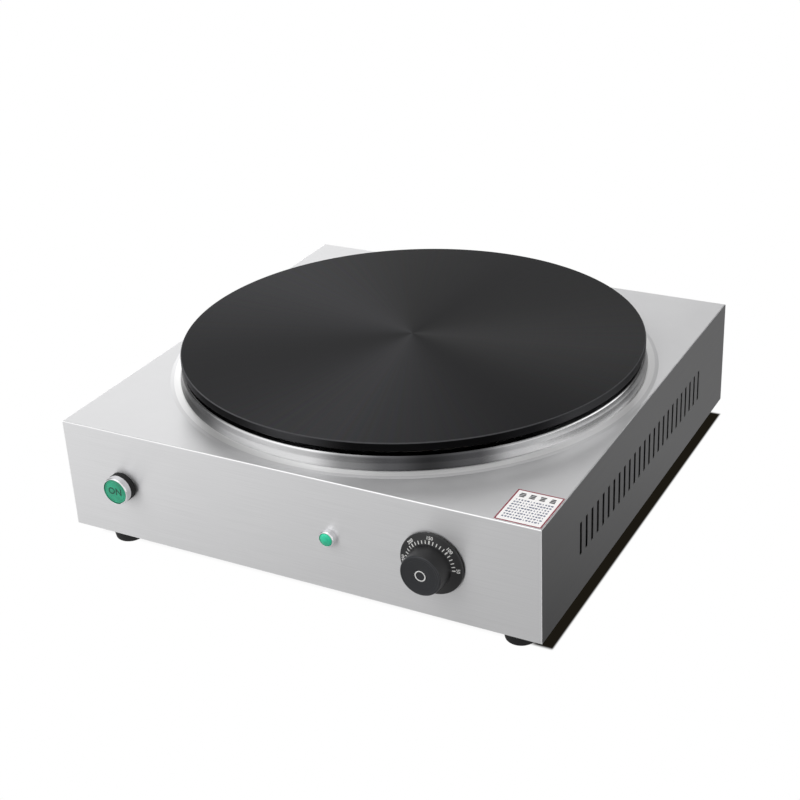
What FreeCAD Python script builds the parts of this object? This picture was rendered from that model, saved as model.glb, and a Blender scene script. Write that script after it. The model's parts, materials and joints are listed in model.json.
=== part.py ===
import FreeCAD, Part
import math
import os
import re
import Sketcher
from FreeCAD import Placement, Rotation, Vector

# Electric crepe maker, in millimetres. +Z is up, the controls face -Y, and the origin lies on the
# ground under the middle of the casing.

# Driving sizes. Each one is a cell of the sheet.
SIZES = {
    # Casing: a folded and welded stainless sheet box, open below
    "case_width": 427.0,
    "case_depth": 430.0,
    "case_height": 97.4,
    "case_sheet": 1.0,
    "fold_radius": 1.0,
    "flange_width": 20.0,
    "deck_hole_radius": 186.0,
    "annulus_outer": 211.0,
    "annulus_inner": 203.0,
    "annulus_rise": 1.5,
    "vent_width": 4.0,
    "vent_height": 28.5,
    "vent_drop": 35.0,
    "vent_pitch": 11.7,
    "vent_count": 25,
    # Base plate and the air slots in it
    "base_sheet": 1.2,
    "base_gap": 0.4,
    "air_slot_length": 70.0,
    "air_slot_width": 5.0,
    "air_slot_place": 105.0,
    "air_slot_pitch": 14.0,
    "air_slot_count": 7,
    "base_screw_inset": 10.0,
    "base_screw_reach": 120.0,
    # Feet and what holds them
    "foot_height": 22.0,
    "foot_top_radius": 16.0,
    "foot_bottom_radius": 12.5,
    "foot_edge": 1.2,
    "foot_inset": 30.0,
    "foot_recess_radius": 6.0,
    "foot_recess_depth": 11.0,
    "foot_screw_radius": 2.5,
    "foot_screw_head": 4.8,
    "foot_screw_head_height": 3.0,
    "foot_screw_length": 20.0,
    "foot_washer_radius": 7.5,
    "foot_washer_sheet": 1.0,
    "foot_nut_radius": 4.6,
    "foot_nut_height": 4.0,
    "base_screw_radius": 1.7,
    "base_screw_head": 3.6,
    "base_screw_head_height": 1.8,
    "base_screw_length": 7.0,
    # Cooking plate
    "plate_radius": 200.0,
    "plate_thickness": 12.0,
    "plate_rim": 7.0,
    "plate_body_radius": 188.0,
    "plate_edge": 0.7,
    "plate_rise": 24.3,
    "plate_setback": 2.0,
    # Polished collar between deck and plate
    "collar_base_radius": 202.0,
    "collar_top_radius": 200.2,
    "collar_sheet": 1.0,
    "collar_drop": 11.0,
    "collar_lip": 5.0,
    "collar_foot": 11.0,
    "collar_roll": 1.0,
    # Heating elements and what presses them on the plate
    "element_radius": 3.5,
    "element_gap": 0.2,
    "element_outer_ring": 150.0,
    "element_inner_ring": 80.0,
    "element_sweep": 330.0,
    "element_leg": 16.0,
    "clamp_radius": 165.0,
    "clamp_hole_radius": 40.0,
    "clamp_sheet": 1.5,
    "blanket_radius": 169.0,
    "shield_radius": 172.0,
    "shield_sheet": 0.8,
    "notch_inner": 60.0,
    "notch_half_width": 50.0,
    "bar_offset": 90.0,
    "bar_width": 28.0,
    "bar_sheet": 3.0,
    "bar_leg": 12.0,
    "bar_length": 418.0,
    "stud_offset": 65.0,
    "stud_radius": 3.0,
    "stud_depth": 8.0,
    "stud_tail": 9.0,
    "spacer_radius": 6.0,
    "stud_nut_radius": 5.6,
    "stud_nut_height": 5.0,
    # Front controls: distances from the casing's left side and down from the deck
    "control_drop": 49.0,
    "button_place": 54.8,
    "lamp_place": 250.6,
    "knob_place": 339.5,
    # Thermostat and its knob
    "thermostat_width": 38.0,
    "thermostat_height": 36.0,
    "thermostat_depth": 26.0,
    "thermostat_screw_offset": 14.0,
    "thermostat_screw_radius": 2.0,
    "thermostat_screw_head": 3.5,
    "thermostat_screw_head_height": 2.0,
    "thermostat_screw_length": 8.0,
    "bush_radius": 5.0,
    "bush_proud": 2.0,
    "bush_length": 13.0,
    "shaft_radius": 3.0,
    "shaft_flat": 1.0,
    "shaft_proud": 14.5,
    "running_gap": 0.05,
    "bulb_radius": 3.4,
    "bulb_length": 80.0,
    "bulb_offset": 115.0,
    "capillary_radius": 1.0,
    "capillary_bend": 12.0,
    "capillary_drop_bend": 3.2,
    "capillary_place": 11.0,
    "capillary_drop": 62.0,
    "knob_gap": 1.0,
    "skirt_radius": 26.0,
    "skirt_edge": 2.0,
    "skirt_rise": 4.2,
    "grip_base_radius": 17.8,
    "grip_radius": 16.8,
    "knob_proud": 21.2,
    "knob_rim": 1.1,
    "knob_dish": 0.5,
    "knob_wall": 1.4,
    "knob_boss_radius": 7.0,
    "cap_radius": 5.0,
    "cap_height": 1.0,
    # Lit push button
    "gasket_radius": 12.3,
    "gasket_height": 5.2,
    "button_thread_radius": 10.9,
    "button_hole_gap": 0.2,
    "bezel_radius": 12.1,
    "bezel_proud": 11.3,
    "bezel_round": 0.8,
    "bezel_bore_radius": 11.0,
    "bezel_shoulder": 6.2,
    "barrel_bore_radius": 8.0,
    "barrel_length": 18.0,
    "button_lens_radius": 10.6,
    "button_lens_proud": 10.8,
    "button_lens_crown": 0.5,
    "button_travel": 3.0,
    "plunger_radius": 7.6,
    "plunger_end": 11.0,
    "spring_radius": 5.0,
    "spring_wire": 0.8,
    "spring_turns": 4,
    "button_nut_radius": 14.5,
    "button_nut_height": 4.0,
    "contact_width": 24.0,
    "contact_height": 34.0,
    "contact_depth": 20.0,
    # Pilot lamp
    "lamp_bezel_radius": 6.9,
    "lamp_bezel_proud": 5.5,
    "lamp_bore_radius": 5.6,
    "lamp_lens_radius": 5.3,
    "lamp_lens_base": 3.0,
    "lamp_lens_proud": 6.5,
    "lamp_thread_radius": 4.9,
    "lamp_wall": 1.1,
    "lamp_thread_length": 12.0,
    "lamp_nut_radius": 7.6,
    "lamp_nut_height": 3.0,
    "lamp_body_radius": 6.2,
    "lamp_body_length": 18.0,
    # Contactor and terminal block on the base plate: the block stands behind the lamp, to its right
    "contactor_x": -75.0,
    "contactor_y": 30.0,
    "contactor_width": 46.0,
    "contactor_depth": 74.0,
    "contactor_base_height": 22.0,
    "contactor_cover_height": 34.0,
    "contactor_step": 4.0,
    "terminal_side": 32.9,
    "terminal_inset": 65.0,
    "terminal_width": 60.0,
    "terminal_depth": 24.0,
    "terminal_height": 20.0,
    "terminal_pitch": 12.0,
    "terminal_count": 5,
    "terminal_screw_radius": 2.5,
    "terminal_screw_depth": 6.0,
    "ear_width": 8.0,
    "ear_height": 4.0,
    "ear_screw_radius": 1.8,
    "ear_screw_head": 3.4,
    "ear_screw_head_height": 2.2,
    # Cable gland in the back wall
    "gland_side": 93.5,
    "gland_height": 37.0,
    "gland_hex_radius": 13.6,
    "gland_flange": 6.0,
    "gland_thread_radius": 10.0,
    "gland_thread_length": 13.0,
    "gland_neck_radius": 9.0,
    "gland_bore_radius": 7.0,
    "gland_reach": 14.0,
    "dome_nut_radius": 12.5,
    "dome_round": 3.0,
    "dome_mouth_radius": 5.4,
    "dome_face": 4.0,
    "gland_proud": 21.2,
    "seal_bore_radius": 5.0,
    "seal_length": 16.0,
    "gland_nut_radius": 14.0,
    "gland_nut_height": 5.0,
    # Earth stud on the base plate
    "earth_side": 63.5,
    "earth_inset": 95.0,
    "earth_length": 18.0,
    "earth_head_radius": 5.0,
    "earth_head_height": 2.0,
    # Sticker on the deck
    "sticker_width": 37.0,
    "sticker_depth": 45.0,
    "sticker_sheet": 0.2,
    "sticker_side_gap": 1.2,
    "sticker_front_gap": 1.6,
    # Internal leads
    "lead_radius": 2.0,
    "lead_bend": 10.0,
    # Clearances
    "hole_gap": 0.3,
    "thread_gap": 0.05,
    "touch_gap": 0.1,
    "end_gap": 0.3,
}

# Places and sizes that follow from the driving ones.
DERIVED = {
    "deck_top": "foot_height + case_height",
    "deck_base": "deck_top - case_sheet",
    "ledge_top": "deck_top + annulus_rise",
    "vent_first": "(case_depth - vent_pitch * (vent_count - 1) - vent_width) / 2",
    "floor_top": "foot_height + base_sheet",
    "plate_top": "deck_top + plate_rise",
    "plate_base": "plate_top - plate_thickness",
    "collar_height": "plate_top - collar_drop - ledge_top",
    "front_face": "-case_depth / 2",
    "panel_back": "case_sheet - case_depth / 2",
    "back_face": "case_depth / 2",
    "control_height": "deck_top - control_drop",
    "button_x": "button_place - case_width / 2",
    "lamp_x": "lamp_place - case_width / 2",
    "knob_x": "knob_place - case_width / 2",
    "element_axis": "plate_base - element_gap - element_radius",
    "clamp_base": "element_axis - element_radius - element_gap - clamp_sheet",
    "shield_top": "deck_base + shield_sheet",
    "leg_end": "element_axis - element_leg",
    "bulb_height": "plate_base - element_gap - bulb_radius",
    "foot_x": "case_width / 2 - foot_inset",
    "foot_y": "case_depth / 2 - foot_inset",
    "edge_x": "case_width / 2 - base_screw_inset",
    "edge_y": "case_depth / 2 - base_screw_inset",
    "gland_z": "foot_height + gland_height",
    "contactor_top": "floor_top + contactor_base_height + contactor_cover_height",
    "contactor_front": "contactor_y - contactor_depth / 2",
    "contactor_rear": "contactor_y + contactor_depth / 2",
    "thermostat_rear": "panel_back + thermostat_depth",
    "contact_front": "panel_back + barrel_length",
    "button_lens_base": "bezel_shoulder + button_travel + end_gap",
    "terminal_x": "lamp_x + terminal_side",
    "terminal_y": "case_depth / 2 - terminal_inset",
    "gland_x": "case_width / 2 - gland_side",
    "earth_x": "case_width / 2 - earth_side",
    "earth_y": "case_depth / 2 - earth_inset",
}

document = FreeCAD.newDocument("crepe_maker")
sheet = document.addObject("Spreadsheet::Sheet", "Sizes")
for row, (alias, amount) in enumerate(SIZES.items(), start=1):
    sheet.set("A%d" % row, alias)
    sheet.set("B%d" % row, str(amount))
    sheet.setAlias("B%d" % row, alias)
document.recompute()

# Which way a turned piece's own +Z points.
UP = Rotation()
FORWARD = Rotation(Vector(1, 0, 0), 90)
BACKWARD = Rotation(Vector(1, 0, 0), -90)

pieces = []


# Formulas

def formula(text):
    # A formula in plain size names, written out in the sheet's cells.
    def spell(match):
        word = match.group(0)
        if word in DERIVED:
            return "(" + formula(DERIVED[word]) + ")"
        return "Sizes." + word if word in SIZES else word
    return re.sub(r"[A-Za-z_]\w*", spell, str(text))


def amount_of(text):
    return float(sheet.evalExpression(formula(text)))


def spot(point):
    return Vector(*(amount_of(text) for text in point))


def bind(thing, prop, text):
    thing.setExpression(prop, formula(text))


def put(thing, at, facing=UP):
    thing.Placement = Placement(spot(at), facing)
    for letter, text in zip("xyz", at):
        bind(thing, "Placement.Base." + letter, text)


def keep(thing, label):
    thing.Label = label
    pieces.append(thing)
    return thing


# Sketches and bodies

def hold_point(sketch, shape, end, point):
    # Ties one point of a sketch to the sheet, or to an axis where it lies on one.
    for kind, axis, text in zip(("DistanceX", "DistanceY"), (-2, -1), point):
        if text == "0":
            sketch.addConstraint(Sketcher.Constraint("PointOnObject", shape, end, axis))
            continue
        rule = Sketcher.Constraint(kind, -1, 1, shape, end, amount_of(text))
        bind(sketch, "Constraints[%d]" % sketch.addConstraint(rule), text)


def add_outline(sketch, points):
    corners = [Vector(amount_of(x), amount_of(y), 0) for x, y in points]
    first = sketch.GeometryCount
    for index, corner in enumerate(corners):
        sketch.addGeometry(Part.LineSegment(corner, corners[(index + 1) % len(corners)]), False)
    for index, point in enumerate(points):
        follower = first + (index + 1) % len(points)
        sketch.addConstraint(Sketcher.Constraint("Coincident", first + index, 2, follower, 1))
        hold_point(sketch, first + index, 1, point)


def add_circle(sketch, centre, radius):
    middle = Vector(amount_of(centre[0]), amount_of(centre[1]), 0)
    shape = sketch.addGeometry(Part.Circle(middle, Vector(0, 0, 1), amount_of(radius)), False)
    hold_point(sketch, shape, 3, centre)
    rule = Sketcher.Constraint("Radius", shape, amount_of(radius))
    bind(sketch, "Constraints[%d]" % sketch.addConstraint(rule), radius)


def draw(body, plane, outlines=(), circles=(), lift="0"):
    sketch = body.newObject("Sketcher::SketchObject", body.Label + "_sketch")
    support = next(item for item in body.Origin.OriginFeatures if item.Role == plane)
    sketch.AttachmentSupport = [(support, "")]
    sketch.MapMode = "FlatFace"
    bind(sketch, "AttachmentOffset.Base.z", lift)
    for points in outlines:
        add_outline(sketch, points)
    for centre, radius in circles:
        add_circle(sketch, centre, radius)
    return sketch


def new_body(label, at, facing=UP):
    body = document.addObject("PartDesign::Body", label)
    keep(body, label)
    put(body, at, facing)
    return body


def feature(body, kind, sketch, length=None, through=False):
    step = body.newObject("PartDesign::" + kind, body.Label + "_" + kind.lower())
    step.Profile = sketch
    if through:
        step.Type = "ThroughAll"
        step.SideType = "Symmetric"
    elif length is not None:
        bind(step, "Length", length)
    document.recompute()
    return step


def turn(body, outline, kind="Revolution"):
    # A full turn of an outline, given as radius and height, about the body's own Z axis.
    sketch = draw(body, "XZ_Plane", [outline])
    step = body.newObject("PartDesign::" + kind, body.Label + "_" + kind.lower())
    step.Profile = sketch
    step.ReferenceAxis = (sketch, ["V_Axis"])
    step.Angle = 360
    document.recompute()
    return step


def pattern(body, step, sketch, axis, reach, count):
    rows = body.newObject("PartDesign::LinearPattern", body.Label + "_rows")
    rows.Originals = [step]
    rows.Direction = (sketch, [axis])
    bind(rows, "Length", reach)
    bind(rows, "Occurrences", count)
    body.Tip = rows
    document.recompute()


def turned(label, outline, at, facing=UP):
    body = new_body(label, at, facing)
    turn(body, outline)
    return body


def padded(label, outlines, height, at, circles=()):
    body = new_body(label, at)
    feature(body, "Pad", draw(body, "XY_Plane", outlines, circles), height)
    return body


def rectangle(left, front, right, back):
    return [(left, front), (right, front), (right, back), (left, back)]


def centred(width, depth):
    half_width = "(%s) / 2" % width
    half_depth = "(%s) / 2" % depth
    return rectangle("-" + half_width, "-" + half_depth, half_width, half_depth)


def ring(inner, outer, base, top):
    return [(inner, base), (outer, base), (outer, top), (inner, top)]


def disc(radius, base, top):
    return [("0", base), (radius, base), (radius, top), ("0", top)]


def edges_where(step, test):
    # Names of the edges whose middle passes a test.
    edges = enumerate(step.Shape.Edges, start=1)
    return ["Edge%d" % index for index, edge in edges if test(edge.CenterOfMass)]


# Primitives, groups and tubes

def cylinder(radius, height, at, facing=UP):
    thing = document.addObject("Part::Cylinder", "cylinder")
    bind(thing, "Radius", radius)
    bind(thing, "Height", height)
    put(thing, at, facing)
    return thing


def block(size, at):
    thing = document.addObject("Part::Box", "block")
    for prop, text in zip(("Length", "Width", "Height"), size):
        bind(thing, prop, text)
    put(thing, at)
    return thing


def hexagon(radius, height, at, facing=UP):
    thing = document.addObject("Part::Prism", "hexagon")
    thing.Polygon = 6
    bind(thing, "Circumradius", radius)
    bind(thing, "Height", height)
    put(thing, at, facing)
    return thing


def join(things):
    thing = document.addObject("Part::MultiFuse", "join")
    thing.Shapes = things
    document.recompute()
    return thing


def cut(base, tools):
    thing = document.addObject("Part::Cut", "cut")
    thing.Base = base
    thing.Tool = tools[0] if len(tools) == 1 else join(tools)
    document.recompute()
    return thing


def group(label, master, places):
    # Like pieces that share one node: a copy of the master's shape at each place.
    thing = document.addObject("Part::Feature", label)
    copies = []
    for place in places:
        copy = master.Shape.copy()
        copy.translate(spot(place))
        copies.append(copy)
    thing.Shape = Part.makeCompound(copies)
    thing.Placement = Placement()
    return keep(thing, label)


def tube(label, points, radius, bends):
    # A round lead along straight runs that are joined by tangent arcs, one bend radius for each corner.
    corners = [spot(point) for point in points]
    edges = []
    start = corners[0]
    for before, corner, after, bend in zip(corners, corners[1:], corners[2:], bends):
        turn_radius = amount_of(bend)
        coming = (corner - before).normalize()
        going = (after - corner).normalize()
        half_turn = coming.getAngle(going) / 2
        reach = turn_radius * math.tan(half_turn)
        first = corner - coming * reach
        last = corner + going * reach
        inward = (going - coming).normalize()
        middle = corner + inward * (turn_radius / math.cos(half_turn) - turn_radius)
        edges.append(Part.LineSegment(start, first).toShape())
        edges.append(Part.Arc(first, middle, last).toShape())
        start = last
    edges.append(Part.LineSegment(start, corners[-1]).toShape())
    path = Part.Wire(edges)
    heading = (corners[1] - corners[0]).normalize()
    section = Part.Wire([Part.Circle(corners[0], heading, amount_of(radius)).toShape()])
    thing = document.addObject("Part::Feature", label)
    thing.Shape = path.makePipeShell([section], True, True)
    thing.Placement = Placement()
    expected = math.pi * amount_of(radius) ** 2 * path.Length
    if abs(thing.Shape.Volume / expected - 1) > 0.01:
        raise RuntimeError(label + " has the wrong volume")
    return keep(thing, label)


def mirrored_spots(across, along, height="0"):
    return [(side + across, end + along, height) for side in ("-", "") for end in ("-", "")]


# Casing

def base_screw_spots(height):
    ends = ("-base_screw_reach", "base_screw_reach")
    sides = [(side + "(edge_x)", end, height) for side in ("-", "") for end in ends]
    fronts = [(end, side + "(edge_y)", height) for side in ("-", "") for end in ends]
    return sides + fronts


def from_plate(point):
    # The casing is drawn about the plate's centre line, so its walls are offset from it.
    return (point[0], "%s - plate_setback" % point[1])


def make_casing():
    body = new_body("casing_shell", ("0", "plate_setback", "foot_height"))
    outer = [from_plate(corner) for corner in centred("case_width", "case_depth")]
    box = feature(body, "Pad", draw(body, "XY_Plane", [outer]), "case_height")
    half_height = amount_of("case_height") / 2
    folds = edges_where(box, lambda middle: middle.z >= half_height)
    rounding = body.newObject("PartDesign::Fillet", "casing_folds")
    rounding.Base = (box, folds)
    bind(rounding, "Radius", "fold_radius")
    document.recompute()
    walls = "%s - 2 * case_sheet"
    flanges = "%s - 2 * flange_width"
    hollows = [
        (walls, "base_sheet", "base_sheet"),
        (flanges, "base_sheet + case_sheet", "case_sheet"),
        (walls, "case_height - case_sheet", "case_height - base_sheet - 2 * case_sheet"),
    ]
    for inset, level, depth in hollows:
        outline = [from_plate(corner) for corner in centred(inset % "case_width", inset % "case_depth")]
        feature(body, "Pocket", draw(body, "XY_Plane", [outline], lift=level), depth)
    opening = draw(body, "XY_Plane", circles=[(("0", "0"), "annulus_outer")], lift="case_height")
    feature(body, "Pocket", opening, "case_sheet")
    turn(body, [
        ("annulus_outer", "case_height - case_sheet"),
        ("annulus_outer", "case_height"),
        ("annulus_inner", "case_height + annulus_rise"),
        ("deck_hole_radius", "case_height + annulus_rise"),
        ("deck_hole_radius", "case_height + annulus_rise - case_sheet"),
        ("annulus_inner", "case_height + annulus_rise - case_sheet"),
    ])
    holes = [(from_plate(place), "base_screw_radius + thread_gap") for place in base_screw_spots("0")]
    flange = draw(body, "XY_Plane", circles=holes, lift="base_sheet + case_sheet")
    feature(body, "Pocket", flange, "case_sheet")
    make_vents(body)
    make_control_holes(body)
    gland_hole = (("gland_x", "gland_height"), "gland_thread_radius + hole_gap")
    drill_wall(body, draw(body, "XZ_Plane", circles=[gland_hole], lift="-(case_depth / 2 - plate_setback)"))
    return body


def make_vents(body):
    front = "vent_first - case_depth / 2 - plate_setback"
    top = "case_height - vent_drop"
    outline = rectangle(front, top + " - vent_height", front + " + vent_width", top)
    sketch = draw(body, "YZ_Plane", [outline])
    slot = feature(body, "Pocket", sketch, through=True)
    pattern(body, slot, sketch, "H_Axis", "vent_pitch * (vent_count - 1)", "vent_count")


def drill_wall(body, sketch):
    # Cuts a wall both ways from its outer face, so the hole goes through whichever way it points.
    step = body.newObject("PartDesign::Pocket", body.Label + "_drill")
    step.Profile = sketch
    step.SideType = "Symmetric"
    bind(step, "Length", "4 * case_sheet")
    document.recompute()


def make_control_holes(body):
    middle = "case_height - control_drop"
    circles = [
        (("button_x", middle), "button_thread_radius + button_hole_gap"),
        (("lamp_x", middle), "lamp_thread_radius + hole_gap"),
        (("knob_x", middle), "bush_radius + hole_gap"),
        (("knob_x - thermostat_screw_offset", middle), "thermostat_screw_radius + hole_gap"),
        (("knob_x + thermostat_screw_offset", middle), "thermostat_screw_radius + hole_gap"),
    ]
    drill_wall(body, draw(body, "XZ_Plane", circles=circles, lift="case_depth / 2 + plate_setback"))


# Base plate, feet and their fasteners

def make_base():
    inset = "%s - 2 * case_sheet - 2 * base_gap"
    outline = centred(inset % "case_width", inset % "case_depth")
    holes = [(place[:2], "foot_screw_radius + hole_gap") for place in mirrored_spots("(foot_x)", "(foot_y)")]
    holes += [(place[:2], "base_screw_radius + hole_gap") for place in base_screw_spots("0")]
    holes += [(place[:2], "ear_screw_radius + hole_gap") for place in ear_spots()]
    holes.append((("earth_x", "earth_y"), "stud_radius + hole_gap"))
    body = padded("base_plate", [outline], "base_sheet", ("0", "0", "foot_height"), holes)
    front = "-air_slot_pitch * (air_slot_count - 1) / 2 - air_slot_width / 2"
    for left in ("air_slot_place", "-air_slot_place - air_slot_length"):
        slot = rectangle(left, front, left + " + air_slot_length", front + " + air_slot_width")
        sketch = draw(body, "XY_Plane", [slot], lift="base_sheet")
        step = feature(body, "Pocket", sketch, "base_sheet")
        pattern(body, step, sketch, "V_Axis", "air_slot_pitch * (air_slot_count - 1)", "air_slot_count")


def make_feet():
    hole = "foot_screw_radius + hole_gap"
    outline = [
        ("foot_recess_radius", "0"),
        ("foot_bottom_radius - foot_edge", "0"),
        ("foot_bottom_radius", "foot_edge"),
        ("foot_top_radius", "foot_height"),
        (hole, "foot_height"),
        (hole, "foot_recess_depth"),
        ("foot_recess_radius", "foot_recess_depth"),
    ]
    corners = mirrored_spots("(foot_x)", "(foot_y)")
    names = ("foot_front_left", "foot_rear_left", "foot_front_right", "foot_rear_right")
    for name, corner in zip(names, corners):
        turned(name, outline, corner)
    screw = master([
        ("0", "foot_recess_depth - foot_screw_head_height"),
        ("foot_screw_head", "foot_recess_depth - foot_screw_head_height"),
        ("foot_screw_head", "foot_recess_depth"),
        ("foot_screw_radius", "foot_recess_depth"),
        ("foot_screw_radius", "foot_recess_depth + foot_screw_length"),
        ("0", "foot_recess_depth + foot_screw_length"),
    ])
    group("foot_screws", screw, corners)
    washer = master(ring(hole, "foot_washer_radius", "floor_top", "floor_top + foot_washer_sheet"))
    group("foot_washers", washer, corners)
    nut_base = ("0", "0", "floor_top + foot_washer_sheet")
    nut = cut(hexagon("foot_nut_radius", "foot_nut_height", nut_base),
              [cylinder("foot_screw_radius + thread_gap", "foot_nut_height", nut_base)])
    group("foot_nuts", nut, corners)
    head_base = "foot_height - base_screw_head_height"
    base_screw = master([
        ("0", head_base),
        ("base_screw_head", head_base),
        ("base_screw_head", "foot_height"),
        ("base_screw_radius", "foot_height"),
        ("base_screw_radius", "foot_height + base_screw_length"),
        ("0", "foot_height + base_screw_length"),
    ])
    group("base_screws", base_screw, base_screw_spots("0"))


def master(outline):
    # A turned shape that is only copied into groups.
    body = document.addObject("PartDesign::Body", "master")
    turn(body, outline)
    return body


# Plate, collar, elements and their carriers

def stud_spots(height="0"):
    corners = mirrored_spots("stud_offset", "bar_offset", height)
    return [(x, y + " + plate_setback", z) for x, y, z in corners]


def stud_circles(radius):
    return [(corner[:2], radius) for corner in mirrored_spots("stud_offset", "bar_offset")]


def make_plate():
    body = turned("griddle_plate", [
        ("0", "0"),
        ("plate_body_radius", "0"),
        ("plate_body_radius", "plate_thickness - plate_rim"),
        ("plate_radius", "plate_thickness - plate_rim"),
        ("plate_radius", "plate_thickness - plate_edge"),
        ("plate_radius - plate_edge", "plate_thickness"),
        ("0", "plate_thickness"),
    ], ("0", "plate_setback", "plate_base"))
    holes = stud_circles("stud_radius + thread_gap")
    feature(body, "Pocket", draw(body, "XY_Plane", circles=holes, lift="stud_depth"), "stud_depth")
    turned("plate_collar", [
        ("collar_base_radius - collar_foot", "0"),
        ("collar_base_radius", "0"),
        ("collar_top_radius", "collar_height - collar_roll"),
        ("collar_top_radius - collar_roll", "collar_height"),
        ("collar_top_radius - collar_roll - collar_lip", "collar_height"),
        ("collar_top_radius - collar_roll - collar_lip", "collar_height - collar_sheet"),
        ("collar_top_radius - collar_roll - collar_sheet / 2", "collar_height - collar_sheet"),
        ("collar_top_radius - 1.2 * collar_sheet", "collar_height - 1.6 * collar_sheet"),
        ("collar_base_radius - collar_sheet", "collar_sheet"),
        ("collar_base_radius - collar_foot", "collar_sheet"),
    ], ("0", "plate_setback", "ledge_top"))


# Where an element's ring ends, seen from its middle.
LEG_ANGLE = "180 deg - (360 - element_sweep) / 2 * 1 deg"


def make_element(label, radius):
    # A ring with a gap to the left, and a leg that goes down from each end.
    ring_start = 180 + (360 - amount_of("element_sweep")) / 2
    coil = document.addObject("Part::Torus", "coil")
    bind(coil, "Radius1", radius)
    bind(coil, "Radius2", "element_radius")
    bind(coil, "Angle3", "element_sweep")
    put(coil, ("0", "plate_setback", "element_axis"), Rotation(Vector(0, 0, 1), ring_start))
    things = [coil]
    for side in ("-", "+"):
        end = ("%s * cos(%s)" % (radius, LEG_ANGLE),
               "plate_setback %s %s * sin(%s)" % (side, radius, LEG_ANGLE))
        things.append(cylinder("element_radius", "element_leg", (*end, "leg_end")))
        knee = document.addObject("Part::Sphere", "knee")
        bind(knee, "Radius", "element_radius")
        put(knee, (*end, "element_axis"))
        things.append(knee)
    keep(join(things), label)


def make_layer(label, radius, base, height, centre_hole=None):
    disc_body = document.addObject("PartDesign::Body", "layer")
    circles = [(("0", "0"), radius)]
    circles += stud_circles("spacer_radius + hole_gap")
    circles.append((("capillary_drop", "-bulb_offset"), "capillary_radius + hole_gap"))
    if centre_hole:
        circles.append((("0", "0"), centre_hole))
    put(disc_body, ("0", "plate_setback", base))
    feature(disc_body, "Pad", draw(disc_body, "XY_Plane", circles=circles), height)
    notch = block((radius, "2 * notch_half_width", height),
                  ("-notch_inner - %s" % radius, "plate_setback - notch_half_width", base))
    keep(cut(disc_body, [notch]), label)


def make_bar(label, side):
    # An angle bar across the casing under the deck. Its leg stands on the side away from the middle.
    body = new_body(label, ("-bar_length / 2", "plate_setback %s bar_offset" % side, "deck_base"))
    edge = side + "bar_width / 2"
    inner = side + "(bar_width / 2 - bar_sheet)"
    far = ("-" if side == "+" else "+") + "bar_width / 2"
    outline = [
        (edge, "0"), (far, "0"), (far, "-bar_sheet"),
        (inner, "-bar_sheet"), (inner, "-bar_sheet - bar_leg"), (edge, "-bar_sheet - bar_leg"),
    ]
    feature(body, "Pad", draw(body, "YZ_Plane", [outline]), "bar_length")
    holes = [(("bar_length / 2 %s stud_offset" % end, "0"), "stud_radius + hole_gap") for end in ("-", "+")]
    feature(body, "Pocket", draw(body, "XY_Plane", circles=holes), "bar_sheet")


def make_plate_carriers():
    make_element("heating_element_outer", "element_outer_ring")
    make_element("heating_element_inner", "element_inner_ring")
    make_layer("element_clamp_plate", "clamp_radius", "clamp_base", "clamp_sheet", "clamp_hole_radius")
    make_layer("insulation_blanket", "blanket_radius", "shield_top", "clamp_base - shield_top")
    make_layer("heat_shield", "shield_radius", "deck_base", "shield_sheet")
    make_bar("cross_bar_front", "-")
    make_bar("cross_bar_rear", "+")
    stud_base = "deck_base - bar_sheet - stud_tail"
    stud_length = "plate_base + stud_depth - end_gap - (%s)" % stud_base
    stud = cylinder("stud_radius", stud_length, ("0", "0", stud_base))
    document.recompute()
    group("plate_studs", stud, stud_spots())
    spacer = master(ring("stud_radius + hole_gap", "spacer_radius", "deck_base", "plate_base"))
    group("stud_spacers", spacer, stud_spots())
    nut_base = ("0", "0", "deck_base - bar_sheet - stud_nut_height")
    nut = cut(hexagon("stud_nut_radius", "stud_nut_height", nut_base),
              [cylinder("stud_radius + thread_gap", "stud_nut_height", nut_base)])
    group("stud_nuts", nut, stud_spots())


# Thermostat and knob

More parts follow.
